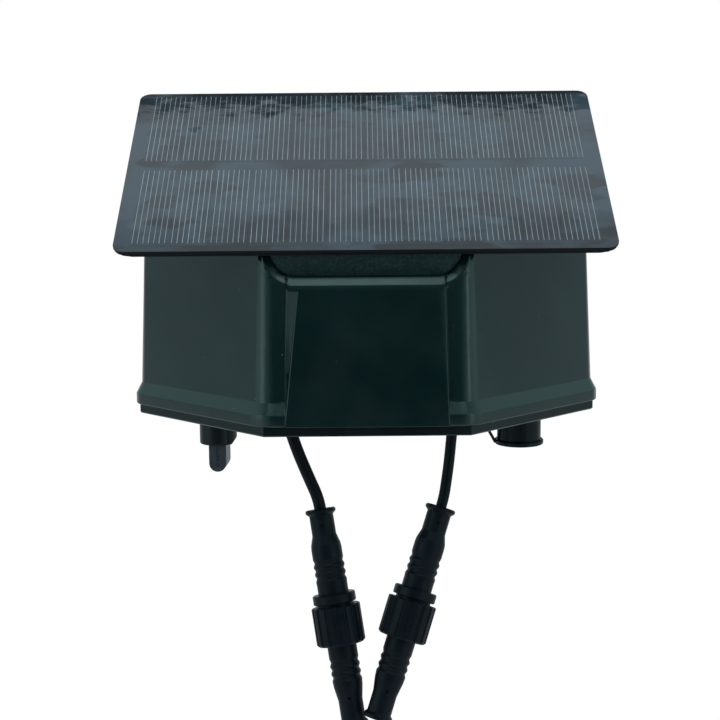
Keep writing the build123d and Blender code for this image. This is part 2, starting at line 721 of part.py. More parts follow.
with BuildPart() as base_screws:
    with BuildSketch(Plane.XY.offset(level(SCREW_SLIP))) as base_heads:
        with Locations(*post_spots):
            Circle(SCREW_HEAD)
    extrude(amount=SCREW_HEAD_THICK)
    with BuildSketch(Plane.XY.offset(level(SCREW_SLIP))) as base_shanks:
        with Locations(*post_spots):
            Circle(SCREW_SHANK - PIN_SLIP)
    extrude(amount=LIP_LOW + PILOT_DEPTH - 2)
    with BuildSketch(Plane.XY.offset(level(SCREW_SLIP))) as base_recesses:
        with Locations(*post_spots):
            Rectangle(SCREW_HEAD, 0.7)
            Rectangle(0.7, SCREW_HEAD)
    extrude(amount=SCREW_HEAD_THICK / 2, mode=Mode.SUBTRACT)
base_screws.part.label = "base_screws"
export_step(base_screws.part, "parts/base_screws.step")

# ---------------------------------------------------------------- electronics

board_top = PCB_HEIGHT + PCB_THICK

with BuildPart() as control_board:
    with BuildSketch(Plane.XY.offset(level(PCB_HEIGHT))) as board_shape:
        with Locations((0, -PCB_FROM_WALL)):
            RectangleRounded(PCB_WIDTH, PCB_DEPTH, PCB_ROUND)
        with Locations(*pcb_spots):
            Circle(SCREW_SHANK + SCREW_SLIP, mode=Mode.SUBTRACT)
    extrude(amount=PCB_THICK)
control_board.part.label = "control_board"
export_step(control_board.part, "parts/control_board.step")

with BuildPart() as board_screws:
    with BuildSketch(Plane.XY.offset(level(board_top))) as board_heads:
        with Locations(*pcb_spots):
            Circle(SCREW_HEAD)
    extrude(amount=SCREW_HEAD_THICK)
    with BuildSketch(Plane.XY.offset(level(board_top))) as board_shanks:
        with Locations(*pcb_spots):
            Circle(SCREW_SHANK - PIN_SLIP)
    extrude(amount=1 - PCB_SCREW_LENGTH)
board_screws.part.label = "board_screws"
export_step(board_screws.part, "parts/board_screws.step")

with BuildPart() as timer_chip:
    with BuildSketch(Plane.XY.offset(level(board_top))) as chip_outline:
        with Locations((-8, -PCB_FROM_WALL)):
            Rectangle(CHIP_SIZE[0], CHIP_SIZE[1])
    extrude(amount=CHIP_SIZE[2])
    chamfer(timer_chip.edges().group_by(Axis.Z)[-1], 0.4)
timer_chip.part.label = "timer_chip"
export_step(timer_chip.part, "parts/timer_chip.step")

with BuildPart() as pump_relay:
    with BuildSketch(Plane.XY.offset(level(board_top))) as relay_outline:
        with Locations((30, -PCB_FROM_WALL - 6)):
            RectangleRounded(RELAY_SIZE[0], RELAY_SIZE[1], 1)
    extrude(amount=RELAY_SIZE[2])
    chamfer(pump_relay.edges().group_by(Axis.Z)[-1], 0.5)
pump_relay.part.label = "pump_relay"
export_step(pump_relay.part, "parts/pump_relay.step")

with BuildPart() as filter_capacitors:
    with BuildSketch(Plane.XY.offset(level(board_top))) as capacitor_feet:
        with Locations((8, -PCB_FROM_WALL + 17), (20, -PCB_FROM_WALL + 17)):
            Circle(CAPACITOR_RADIUS)
    extrude(amount=CAPACITOR_HEIGHT)
    chamfer(filter_capacitors.edges().group_by(Axis.Z)[-1], 0.5)
filter_capacitors.part.label = "filter_capacitors"
export_step(filter_capacitors.part, "parts/filter_capacitors.step")

with BuildPart() as alarm_buzzer:
    with BuildSketch(Plane.XY.offset(level(board_top))) as buzzer_foot:
        with Locations((-34, -PCB_FROM_WALL - 10)):
            Circle(BUZZER_RADIUS)
    extrude(amount=BUZZER_HEIGHT)
    with BuildSketch(Plane.XY.offset(level(board_top + BUZZER_HEIGHT))) as buzzer_mouth:
        with Locations((-34, -PCB_FROM_WALL - 10)):
            Circle(BUZZER_RADIUS / 4)
    extrude(amount=-2, mode=Mode.SUBTRACT)
alarm_buzzer.part.label = "alarm_buzzer"
export_step(alarm_buzzer.part, "parts/alarm_buzzer.step")

with BuildPart() as board_headers:
    with BuildSketch(Plane.XY.offset(level(board_top))) as header_feet:
        with Locations(
            (-46, -PCB_FROM_WALL + 6), (-22, -PCB_FROM_WALL + 18), (46, -PCB_FROM_WALL + 10)
        ):
            Rectangle(HEADER_SIZE[0], HEADER_SIZE[1])
    extrude(amount=HEADER_SIZE[2])
    with BuildSketch(Plane.XY.offset(level(board_top + HEADER_SIZE[2]))) as header_mouths:
        with Locations(
            (-46, -PCB_FROM_WALL + 6), (-22, -PCB_FROM_WALL + 18), (46, -PCB_FROM_WALL + 10)
        ):
            Rectangle(HEADER_SIZE[0] - 2, HEADER_SIZE[1] - 2)
    extrude(amount=-HEADER_SIZE[2] / 2, mode=Mode.SUBTRACT)
board_headers.part.label = "board_headers"
export_step(board_headers.part, "parts/board_headers.step")

# ---------------------------------------------------------------- batteries

holder_back = WALL + HOLDER_POST
holder_depth = AA_RADIUS + AA_SLIP + HOLDER_WALL
holder_tall = (AA_COUNT - 1) * AA_PITCH + 2 * (AA_RADIUS + AA_SLIP + HOLDER_WALL)
cell_line = holder_back + HOLDER_WALL + AA_RADIUS + AA_SLIP
cell_heights = [
    HOLDER_MIDDLE + (index - (AA_COUNT - 1) / 2) * AA_PITCH for index in range(AA_COUNT)
]
cell_ends = Plane.YZ.offset(-AA_LENGTH / 2)

with BuildPart() as battery_holder:
    with BuildSketch(Plane.XZ.offset(holder_back)) as holder_outline:
        with Locations((0, level(HOLDER_MIDDLE))):
            Rectangle(2 * holder_half, holder_tall)
            Rectangle(2 * (holder_half + HOLDER_EAR), HOLDER_EAR)
    extrude(amount=HOLDER_WALL)
    with BuildSketch(Plane.XZ.offset(holder_back)) as holder_block:
        with Locations((0, level(HOLDER_MIDDLE))):
            Rectangle(2 * holder_half, holder_tall)
    extrude(amount=HOLDER_WALL + holder_depth)
    with BuildSketch(Plane.YZ.offset(-AA_LENGTH / 2 - AA_NUB - HOLDER_END_ROOM)) as troughs:
        with Locations(*[(-cell_line, level(height)) for height in cell_heights]):
            Circle(AA_RADIUS + AA_SLIP)
    extrude(amount=AA_LENGTH + 2 * (AA_NUB + HOLDER_END_ROOM), mode=Mode.SUBTRACT)
    with BuildSketch(Plane.XZ.offset(cell_line)) as open_fronts:
        with Locations((0, level(HOLDER_MIDDLE))):
            Rectangle(
                2 * (holder_half - HOLDER_WALL), holder_tall - 2 * HOLDER_WALL
            )
    extrude(amount=holder_depth, mode=Mode.SUBTRACT)
    with BuildSketch(Plane.XZ.offset(holder_back)) as ear_holes:
        with Locations(*ear_spots):
            Circle(SCREW_SHANK + SCREW_SLIP)
    extrude(amount=HOLDER_WALL, mode=Mode.SUBTRACT)
battery_holder.part.label = "battery_holder"
export_step(battery_holder.part, "parts/battery_holder.step")

with BuildPart() as battery_cells:
    with BuildSketch(cell_ends) as cell_bodies:
        with Locations(*[(-cell_line, level(height)) for height in cell_heights]):
            Circle(AA_RADIUS)
    extrude(amount=AA_LENGTH)
    with BuildSketch(cell_ends.offset(AA_LENGTH)) as cell_nubs:
        with Locations(*[(-cell_line, level(height)) for height in cell_heights]):
            Circle(AA_NUB_RADIUS)
    extrude(amount=AA_NUB)
battery_cells.part.label = "battery_cells"
export_step(battery_cells.part, "parts/battery_cells.step")

with BuildPart() as battery_contacts:
    with BuildSketch(Plane.YZ.offset(-AA_LENGTH / 2 - CONTACT_THICK)) as left_contacts:
        with Locations(*[(-cell_line, level(height)) for height in cell_heights]):
            Rectangle(CONTACT_SIZE, CONTACT_SIZE)
    extrude(amount=CONTACT_THICK)
    with BuildSketch(Plane.YZ.offset(AA_LENGTH / 2 + AA_NUB)) as right_contacts:
        with Locations(*[(-cell_line, level(height)) for height in cell_heights]):
            Rectangle(CONTACT_SIZE, CONTACT_SIZE)
    extrude(amount=CONTACT_THICK)
battery_contacts.part.label = "battery_contacts"
export_step(battery_contacts.part, "parts/battery_contacts.step")

with BuildPart() as holder_screws:
    with BuildSketch(Plane.XZ.offset(holder_back + HOLDER_WALL)) as holder_heads:
        with Locations(*ear_spots):
            Circle(SCREW_HEAD)
    extrude(amount=SCREW_HEAD_THICK)
    with BuildSketch(Plane.XZ.offset(holder_back + HOLDER_WALL)) as holder_shanks:
        with Locations(*ear_spots):
            Circle(SCREW_SHANK - PIN_SLIP)
    extrude(amount=0.5 - HOLDER_WALL - HOLDER_POST)
holder_screws.part.label = "holder_screws"
export_step(holder_screws.part, "parts/holder_screws.step")

# ---------------------------------------------------------------- selector dial

dial_turn = radians(DIAL_REST_ANGLE)
dial_plane = Plane(
    origin=(DIAL_X, -DIAL_FROM_WALL, level(0)),
    x_dir=(cos(dial_turn), sin(dial_turn), 0),
    z_dir=(0, 0, 1),
)
# upright plane through the dial's axis, seen from the front of the grip
grip_plane = Plane(origin=dial_plane.origin, x_dir=dial_plane.x_dir, z_dir=-dial_plane.y_dir)
switch_low = BASE_SKIN + SWITCH_SEAL_THICK
rotor_low = switch_low + SWITCH_FLOOR + (SWITCH_ROOM_HEIGHT - ROTOR_THICK) / 2

with BuildPart() as dial_knob:
    with BuildSketch(dial_plane.offset(-DIAL_GAP)) as dial_skirt:
        Circle(DIAL_RADIUS)
    extrude(amount=-DIAL_SKIRT)
    fillet(dial_knob.edges().group_by(Axis.Z)[0], DIAL_EDGE)
    with BuildSketch(grip_plane) as thumb_bevel:
        dial_low = -DIAL_GAP - DIAL_SKIRT
        with BuildLine():
            Polyline(
                (DIAL_RADIUS + 1, dial_low - 1),
                (DIAL_RADIUS - BEVEL_WIDTH - 1, dial_low - 1),
                (DIAL_RADIUS - BEVEL_WIDTH, dial_low),
                (DIAL_RADIUS + 1, dial_low + BEVEL_HEIGHT + 1),
                close=True,
            )
        make_face()
    extrude(amount=DIAL_RADIUS, both=True, mode=Mode.SUBTRACT)
    grip_top = DIAL_GAP + DIAL_SKIRT / 2
    for reach, half in ((GRIP_REACH, GRIP_HALF), (-GRIP_BACK_REACH, GRIP_BACK_HALF)):
        with BuildSketch(grip_plane.offset(reach)) as grip_end:
            with Locations((0, -(grip_top + GRIP_STRAIGHT) / 2)):
                Rectangle(2 * half, GRIP_STRAIGHT - grip_top)
            with Locations((0, -GRIP_STRAIGHT)):
                Circle(half)
    loft(ruled=True)
    # room for the switch nut, with a hub round the spindle
    with BuildSketch(dial_plane.offset(-DIAL_GAP)) as nut_room:
        Circle(DIAL_ROOM_RADIUS)
    extrude(amount=-DIAL_ROOM_DEPTH, mode=Mode.SUBTRACT)
    with BuildSketch(dial_plane.offset(-DIAL_GAP)) as spindle_bore:
        Circle(SPINDLE_RADIUS + PIN_SLIP)
    extrude(amount=DIAL_GAP - SPINDLE_LOW, mode=Mode.SUBTRACT)
    # pointer line and dot on the grip's front end
    with BuildSketch(grip_plane.offset(GRIP_REACH)) as pointer_mark:
        with Locations((0, -(DIAL_SKIRT + MARK_LOW) / 2 - 0.5)):
            Rectangle(MARK_WIDTH, MARK_LOW - DIAL_SKIRT - 1)
        with Locations((0, -DOT_LOW)):
            Circle(DOT_RADIUS)
    extrude(amount=-MARK_DEPTH, mode=Mode.SUBTRACT)
dial_knob.part.label = "dial_knob"
export_step(dial_knob.part, "parts/dial_knob.step")

with BuildPart() as dial_spindle:
    with BuildSketch(dial_plane.offset(-SPINDLE_LOW)) as spindle_end:
        Circle(SPINDLE_RADIUS)
    extrude(amount=SPINDLE_LOW + rotor_low + ROTOR_THICK)
    with BuildSketch(dial_plane.offset(rotor_low)) as rotor:
        Circle(ROTOR_RADIUS)
    extrude(amount=ROTOR_THICK)
dial_spindle.part.label = "dial_spindle"
export_step(dial_spindle.part, "parts/dial_spindle.step")

with BuildPart() as switch_body:
    with BuildSketch(Plane.XY.offset(level(switch_low))) as switch_outline:
        with Locations((DIAL_X, -DIAL_FROM_WALL)):
            RectangleRounded(SWITCH_SIZE, SWITCH_SIZE, 1.5)
    extrude(amount=SWITCH_HEIGHT)
    with BuildSketch(Plane.XY.offset(level(switch_low))) as bush:
        with Locations((DIAL_X, -DIAL_FROM_WALL)):
            Circle(BUSH_RADIUS + SPINDLE_SLIP)
    extrude(amount=-BUSH_LOW - switch_low)
    with BuildSketch(Plane.XY.offset(level(switch_low + SWITCH_FLOOR))) as rotor_room:
        with Locations((DIAL_X, -DIAL_FROM_WALL)):
            Circle(SWITCH_ROOM_RADIUS)
    extrude(amount=SWITCH_ROOM_HEIGHT, mode=Mode.SUBTRACT)
    with BuildSketch(Plane.XY.offset(level(-BUSH_LOW))) as bush_bore:
        with Locations((DIAL_X, -DIAL_FROM_WALL)):
            Circle(SPINDLE_RADIUS + SPINDLE_SLIP)
    extrude(amount=BUSH_LOW + switch_low + SWITCH_FLOOR, mode=Mode.SUBTRACT)
switch_body.part.label = "switch_body"
export_step(switch_body.part, "parts/switch_body.step")

with BuildPart() as switch_seal:
    with BuildSketch(Plane.XY.offset(level(BASE_SKIN))) as seal_ring:
        with Locations((DIAL_X, -DIAL_FROM_WALL)):
            Circle(SWITCH_SEAL_RADIUS)
            Circle(BUSH_HOLE, mode=Mode.SUBTRACT)
    extrude(amount=SWITCH_SEAL_THICK)
switch_seal.part.label = "switch_seal"
export_step(switch_seal.part, "parts/switch_seal.step")

with BuildPart() as switch_nut:
    with BuildSketch(Plane.XY.offset(level(0))) as nut_outline:
        with Locations((DIAL_X, -DIAL_FROM_WALL)):
            RegularPolygon(SWITCH_NUT_ACROSS / 2, 6, major_radius=False)
            Circle(BUSH_RADIUS + 2 * SPINDLE_SLIP, mode=Mode.SUBTRACT)
    extrude(amount=-SWITCH_NUT_THICK)
switch_nut.part.label = "switch_nut"
export_step(switch_nut.part, "parts/switch_nut.step")

# ---------------------------------------------------------------- capped port

port_axis = Axis((PORT_X, -PORT_FROM_WALL, 0), (0, 0, 1))
port_section = Plane(origin=(PORT_X, -PORT_FROM_WALL, level(0)), x_dir=(1, 0, 0), z_dir=(0, -1, 0))
flange_top = PORT_PAD_HEIGHT + PORT_FLANGE_THICK

with BuildPart() as port_socket:
    with BuildSketch(Plane.XY.offset(level(PORT_PAD_HEIGHT))) as port_flange:
        with Locations((PORT_X, -PORT_FROM_WALL)):
            SlotOverall(2 * PORT_FLANGE_REACH, 2 * PORT_FLANGE_HALF, rotation=45)
        with Locations(*port_screw_spots):
            Circle(SCREW_SHANK + SCREW_SLIP, mode=Mode.SUBTRACT)
    extrude(amount=PORT_FLANGE_THICK)
    with BuildSketch(Plane.XY.offset(level(-PORT_COLLAR_LOW))) as port_collar:
        with Locations((PORT_X, -PORT_FROM_WALL)):
            Circle(PORT_COLLAR_RADIUS)
    extrude(amount=PORT_COLLAR_LOW + PORT_PAD_HEIGHT)
    with BuildSketch(Plane.XY.offset(level(flange_top))) as port_back:
        with Locations((PORT_X, -PORT_FROM_WALL)):
            Circle(PORT_BACK_RADIUS)
    extrude(amount=PORT_BACK_HEIGHT)
    with BuildSketch(Plane.XY.offset(level(-PORT_COLLAR_LOW))) as port_bore:
        with Locations((PORT_X, -PORT_FROM_WALL)):
            Circle(PORT_BORE_RADIUS)
    extrude(amount=PORT_BORE_DEPTH, mode=Mode.SUBTRACT)
    with BuildSketch(Plane.XY.offset(level(-PORT_COLLAR_LOW))) as pin_hole:
        with Locations((PORT_X, -PORT_FROM_WALL)):
            Circle(PORT_PIN_RADIUS + PIN_SLIP)
    extrude(amount=PORT_COLLAR_LOW + flange_top + PORT_BACK_HEIGHT, mode=Mode.SUBTRACT)
port_socket.part.label = "port_socket"
export_step(port_socket.part, "parts/port_socket.step")

with BuildPart() as port_pin:
    with BuildSketch(Plane.XY.offset(level(-PORT_PIN_LOW))) as pin_end:
        with Locations((PORT_X, -PORT_FROM_WALL)):
            Circle(PORT_PIN_RADIUS)
    extrude(amount=PORT_PIN_LOW + PORT_PIN_HIGH)
port_pin.part.label = "port_pin"
export_step(port_pin.part, "parts/port_pin.step")

with BuildPart() as port_screws:
    with BuildSketch(Plane.XY.offset(level(flange_top))) as port_heads:
        with Locations(*port_screw_spots):
            Circle(SCREW_HEAD)
    extrude(amount=SCREW_HEAD_THICK)
    with BuildSketch(Plane.XY.offset(level(flange_top))) as port_shanks:
        with Locations(*port_screw_spots):
            Circle(SCREW_SHANK - PIN_SLIP)
    extrude(amount=1.5 - flange_top)
port_screws.part.label = "port_screws"
export_step(port_screws.part, "parts/port_screws.step")

with BuildPart() as port_cap:
    with BuildSketch(port_section) as cap_profile:
        cap_bore = PORT_COLLAR_RADIUS + CAP_SLIP
        with BuildLine():
            Polyline(
                (0, -CAP_LOW),
                (CAP_RIM_RADIUS - CAP_EDGE, -CAP_LOW),
                (CAP_RIM_RADIUS, -CAP_LOW + CAP_EDGE),
                (CAP_RIM_RADIUS, -CAP_LOW + CAP_RIM - CAP_EDGE),
                (CAP_RIM_RADIUS - CAP_EDGE, -CAP_LOW + CAP_RIM),
                (CAP_RADIUS, -CAP_LOW + CAP_RIM),
                (CAP_RADIUS, -CAP_GAP - CAP_EDGE),
                (CAP_RADIUS - CAP_EDGE, -CAP_GAP),
                (cap_bore, -CAP_GAP),
                (cap_bore, -CAP_LOW + CAP_RIM),
                (0, -CAP_LOW + CAP_RIM),
                close=True,
            )
        make_face()
    revolve(axis=port_axis)
port_cap.part.label = "port_cap"
export_step(port_cap.part, "parts/port_cap.step")

with BuildPart() as cap_tether:
    with BuildSketch(port_section) as strap_side:
        rim_side = CAP_RIM_RADIUS + GROMMET_SLIP
        rim_middle = -CAP_LOW + CAP_RIM / 2
        with BuildLine():
            Polyline(
                (-TETHER_ANCHOR - TETHER_WIDTH / 2, 0),
                (-TETHER_DROP, 0),
                (-rim_side, rim_middle + TETHER_THICK),
                (-rim_side, rim_middle - TETHER_THICK / 2),
                (-rim_side - TETHER_THICK / 2, rim_middle - TETHER_THICK / 2),
                (-TETHER_DROP - 1.3 * TETHER_THICK, -TETHER_THICK),
                (-TETHER_ANCHOR - TETHER_WIDTH / 2, -TETHER_THICK),
                close=True,
            )
        make_face()
    extrude(amount=TETHER_WIDTH / 2, both=True)
    with BuildSketch(Plane.XY.offset(level(0))) as stud_end:
        with Locations(anchor_spot):
            Circle(TETHER_STUD)
    extrude(amount=BASE_SKIN + 1)
cap_tether.part.label = "cap_tether"
export_step(cap_tether.part, "parts/cap_tether.step")

# ---------------------------------------------------------------- pigtails and connectors


def place(point):
    """Vector of a point given as x, distance from the wall and height."""
    return Vector(point[0], -point[1], level(point[2]))


def arc_radii(points):
    """Radius of the arc at each inner point: as large as its two runs allow."""
    radii = []
    for before, corner, after in zip(points, points[1:], points[2:]):
        share_before = END_SHARE if before is points[0] else CORNER_SHARE
        share_after = END_SHARE if after is points[-1] else CORNER_SHARE
        room = min(share_before * (corner - before).length, share_after * (after - corner).length)
        turn = (corner - before).get_angle(after - corner)
        radii.append(room / tan(radians(turn / 2)))
    return radii


def ribs(start, radius):
    """Profile points of the ribbed grip on a body, from where it starts."""
    points = []
    for index in range(RIB_COUNT):
        groove = start + (index + 0.5) * RIB_PITCH
        crest = start + (index + 1) * RIB_PITCH
        points += [
            (radius - RIB_DEPTH, groove - RIB_GROOVE / 2),
            (radius - RIB_DEPTH, groove + RIB_GROOVE / 2),
            (radius + RIB_CREST, crest - RIB_LAND / 2),
            (radius + RIB_CREST, crest + RIB_LAND / 2),
        ]
    return points


plug_profile = [
    (0, 0),
    (BOOT_RIM_RADIUS - 0.5, 0),
    (BOOT_RIM_RADIUS, 0.5),
    (BOOT_RIM_RADIUS, BOOT_RIM),
    (BOOT_NECK_RADIUS, BOOT_NECK_START),
    (BOOT_NECK_RADIUS, BOOT_NECK_END),
    (BODY_RADIUS - 0.2, BODY_START - 2),
    (BODY_RADIUS, BODY_START),
    (BODY_RADIUS, RIB_START),
    *ribs(RIB_START, BODY_RADIUS),
    (BODY_RADIUS, RIB_START + (RIB_COUNT + 0.5) * RIB_PITCH),
    (BODY_RADIUS, COLLAR_START),
    (COLLAR_RADIUS - 0.5, COLLAR_START),
    (COLLAR_RADIUS, COLLAR_START + 0.5),
    (COLLAR_RADIUS, COLLAR_START + COLLAR_LENGTH - 0.4),
    (COLLAR_RADIUS - 0.4, COLLAR_START + COLLAR_LENGTH),
    (BARREL_RADIUS, COLLAR_START + COLLAR_LENGTH),
    (BARREL_RADIUS, BARREL_END),
    (BARREL_BORE, BARREL_END),
    (BARREL_BORE, BARREL_FLOOR),
    (0, BARREL_FLOOR),
]
seal_groove_radius = BARREL_BORE - PIN_SLIP - 2 * SEAL_RADIUS - PIN_SLIP
keeper_end = KEEPER_START + KEEPER_THICK
socket_profile = [
    (0, NOSE_START),
    (NOSE_RADIUS - 0.4, NOSE_START),
    (NOSE_RADIUS, NOSE_START + 0.4),
    (NOSE_RADIUS, SEAL_PLACE - SEAL_GROOVE),
    (seal_groove_radius, SEAL_PLACE - SEAL_GROOVE),
    (seal_groove_radius, SEAL_PLACE + SEAL_GROOVE),
    (NOSE_RADIUS, SEAL_PLACE + SEAL_GROOVE),
    (NOSE_RADIUS, KEEPER_START),
    (KEEPER_RADIUS, KEEPER_START),
    (KEEPER_RADIUS, keeper_end),
    (LOWER_RADIUS, keeper_end),
    (LOWER_RADIUS, LOWER_RIB_START),
    *ribs(LOWER_RIB_START, LOWER_RADIUS),
    (LOWER_RADIUS - 0.1, LOWER_TAPER_START),
    (BOOT_NECK_RADIUS, LOWER_NECK_START),
    (BOOT_NECK_RADIUS, CONNECTOR_LENGTH - BOOT_NECK_START),
    (LOWER_RIM_RADIUS, CONNECTOR_LENGTH - BOOT_RIM),
    (LOWER_RIM_RADIUS, CONNECTOR_LENGTH - 0.5),
    (LOWER_RIM_RADIUS - 0.5, CONNECTOR_LENGTH),
    (LEAD_BORE_RADIUS, CONNECTOR_LENGTH),
    (LEAD_BORE_RADIUS, CONNECTOR_LENGTH - LEAD_BORE_DEPTH),
    (0, CONNECTOR_LENGTH - LEAD_BORE_DEPTH),
]
nut_bore = BARREL_RADIUS + NUT_BORE_SLIP
nut_end = NUT_START + NUT_LENGTH
nut_step = nut_end - NUT_SHOULDER
nut_hole = LOWER_RADIUS + NUT_SHOULDER_SLIP
nut_profile = [
    (nut_bore, NUT_START),
    (NUT_RADIUS - NUT_TOP_EDGE, NUT_START),
    (NUT_RADIUS, NUT_START + NUT_TOP_EDGE),
    (NUT_RADIUS, nut_end - NUT_CHAMFER),
    (NUT_RADIUS - NUT_CHAMFER, nut_end),
    (nut_hole, nut_end),
    (nut_hole, nut_step),
    (nut_bore, nut_step),
]

for side, route, plug_top, cable_radius in (
    ("left", LEFT_ROUTE, LEFT_PLUG_TOP, LEFT_CABLE_RADIUS),
    ("right", RIGHT_ROUTE, RIGHT_PLUG_TOP, RIGHT_CABLE_RADIUS),
):
    points = [place(point) for point in (*route, plug_top)]
    top = points[-1]
    down = (points[-1] - points[-2]).normalized()
    exit_way = (points[1] - points[0]).normalized()
    gland = points[0] - exit_way * ((level(0) - points[0].Z) / -exit_way.Z)

    with BuildPart() as grommet:
        with BuildSketch(Plane.XY.offset(level(-GROMMET_FLANGE_THICK))) as outer_flange:
            with Locations((gland.X, gland.Y)):
                Circle(GROMMET_FLANGE)
        extrude(amount=GROMMET_FLANGE_THICK)
        with BuildSketch(Plane.XY.offset(level(0))) as neck:
            with Locations((gland.X, gland.Y)):
                Circle(GROMMET_NECK)
        extrude(amount=BASE_SKIN)
        with BuildSketch(Plane.XY.offset(level(BASE_SKIN))) as inner_flange:
            with Locations((gland.X, gland.Y)):
                Circle(GROMMET_FLANGE)
        extrude(amount=GROMMET_FLANGE_THICK)
        snout_plane = Plane(origin=points[0], z_dir=-exit_way)
        snout_length = (points[0] - gland).length
        with BuildSketch(snout_plane) as snout_tip:
            Circle(GROMMET_TIP)
        with BuildSketch(snout_plane.offset(snout_length)) as snout_root:
            Circle(GROMMET_NECK)
        loft()
    grommet.part.label = side + "_grommet"
    export_step(grommet.part, "parts/" + side + "_grommet.step")

    radii = arc_radii(points)
    print(side, "pigtail radii", [round(radius, 1) for radius in radii])
    with BuildPart() as pigtail:
        with BuildLine() as run:
            FilletPolyline(*points, radius=radii)
        with BuildSketch(Plane(origin=points[0], z_dir=exit_way)) as cable_end:
            Circle(cable_radius)
        sweep()
    pigtail.part.label = side + "_pigtail"
    export_step(pigtail.part, "parts/" + side + "_pigtail.step")
    length = sum(edge.length for edge in run.edges())
    print(side, "pigtail length", round(length, 2), "volume", round(pigtail.part.volume, 1))

    along = Plane(origin=top, x_dir=(0, -1, 0), z_dir=down)
    section = Plane(origin=top, x_dir=along.x_dir, z_dir=along.x_dir.cross(down))
    axis = Axis(top, down)

    with BuildPart() as plug_body:
        with BuildSketch(section) as plug_half:
            with BuildLine():
                Polyline(*plug_profile, close=True)
            make_face()
        revolve(axis=axis)
        with BuildSketch(along.offset(BARREL_FLOOR)) as pin_holes:
            with GridLocations(PIN_SPACING, PIN_SPACING, 1, 2):
                Circle(PIN_RADIUS + PIN_SLIP)
        extrude(amount=PIN_START - BARREL_FLOOR, mode=Mode.SUBTRACT)
        dimple_foot = top + down * DIMPLE_PLACE + along.x_dir * BOOT_NECK_RADIUS
        with BuildSketch(Plane(origin=dimple_foot, z_dir=along.x_dir)) as plug_dimple:
            Circle(DIMPLE_RADIUS)
        extrude(amount=DIMPLE_DEPTH, both=True, mode=Mode.SUBTRACT)
    plug_body.part.label = side + "_plug_body"
    export_step(plug_body.part, "parts/" + side + "_plug_body.step")

    with BuildPart() as plug_pins:
        with BuildSketch(along.offset(PIN_START)) as pin_ends:
            with GridLocations(PIN_SPACING, PIN_SPACING, 1, 2):
                Circle(PIN_RADIUS)
        extrude(amount=PIN_END - PIN_START)
    plug_pins.part.label = side + "_plug_pins"
    export_step(plug_pins.part, "parts/" + side + "_plug_pins.step")

    with BuildPart() as plug_seal:
        with BuildSketch(section) as seal_section:
            with Locations((BARREL_BORE - PIN_SLIP - SEAL_RADIUS, SEAL_PLACE)):
                Circle(SEAL_RADIUS)
        revolve(axis=axis)
    plug_seal.part.label = side + "_plug_seal"
    export_step(plug_seal.part, "parts/" + side + "_plug_seal.step")

    with BuildPart() as socket_body:
        with BuildSketch(section) as socket_half:
            with BuildLine():
                Polyline(*socket_profile, close=True)
            make_face()
        revolve(axis=axis)
        with BuildSketch(along.offset(NOSE_START)) as contact_holes:
            with GridLocations(PIN_SPACING, PIN_SPACING, 1, 2):
                Circle(PIN_RADIUS + PIN_SLIP)
        extrude(amount=PIN_END + 1 - NOSE_START, mode=Mode.SUBTRACT)
        low_foot = (
            top
            + down * (CONNECTOR_LENGTH - LOWER_DIMPLE_PLACE)
            + along.x_dir * BOOT_NECK_RADIUS
        )
        with BuildSketch(Plane(origin=low_foot, z_dir=along.x_dir)) as socket_dimple:
            Circle(DIMPLE_RADIUS)
        extrude(amount=DIMPLE_DEPTH, both=True, mode=Mode.SUBTRACT)
    socket_body.part.label = side + "_socket_body"
    export_step(socket_body.part, "parts/" + side + "_socket_body.step")

    with BuildPart() as coupling_nut:
        with BuildSketch(section) as nut_half:
            with BuildLine():
                Polyline(*nut_profile, close=True)
            make_face()
        revolve(axis=axis)
        with BuildSketch(along.offset(NUT_START - 1)) as flutes:
            with PolarLocations(NUT_RADIUS + NUT_FLUTE_OUT, NUT_FLUTES):
                Circle(NUT_FLUTE_RADIUS)
        extrude(amount=NUT_LENGTH + 2, mode=Mode.SUBTRACT)
    coupling_nut.part.label = side + "_coupling_nut"
    export_step(coupling_nut.part, "parts/" + side + "_coupling_nut.step")
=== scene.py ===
import json
import math

import bmesh
import bpy
from mathutils import Matrix, Vector
from mathutils.bvhtree import BVHTree


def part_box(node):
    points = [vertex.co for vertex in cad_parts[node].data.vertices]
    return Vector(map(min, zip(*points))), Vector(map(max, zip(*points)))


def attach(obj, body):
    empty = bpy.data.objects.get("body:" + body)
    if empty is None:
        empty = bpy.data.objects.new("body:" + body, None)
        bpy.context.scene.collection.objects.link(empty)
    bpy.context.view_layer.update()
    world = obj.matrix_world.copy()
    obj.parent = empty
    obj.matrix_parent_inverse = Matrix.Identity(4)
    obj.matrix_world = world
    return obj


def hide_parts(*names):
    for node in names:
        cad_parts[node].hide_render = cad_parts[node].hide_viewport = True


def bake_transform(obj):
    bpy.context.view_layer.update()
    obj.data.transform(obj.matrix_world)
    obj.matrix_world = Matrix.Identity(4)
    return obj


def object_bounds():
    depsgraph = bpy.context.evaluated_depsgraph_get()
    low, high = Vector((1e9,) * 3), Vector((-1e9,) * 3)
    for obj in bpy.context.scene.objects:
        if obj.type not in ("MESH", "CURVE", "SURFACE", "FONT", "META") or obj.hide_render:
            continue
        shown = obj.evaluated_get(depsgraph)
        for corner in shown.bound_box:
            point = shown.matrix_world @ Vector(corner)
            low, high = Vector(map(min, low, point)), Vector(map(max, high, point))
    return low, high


# Metres, in the frame of the solids: X to the right, Y into the wall, Z up.
MM = 0.001
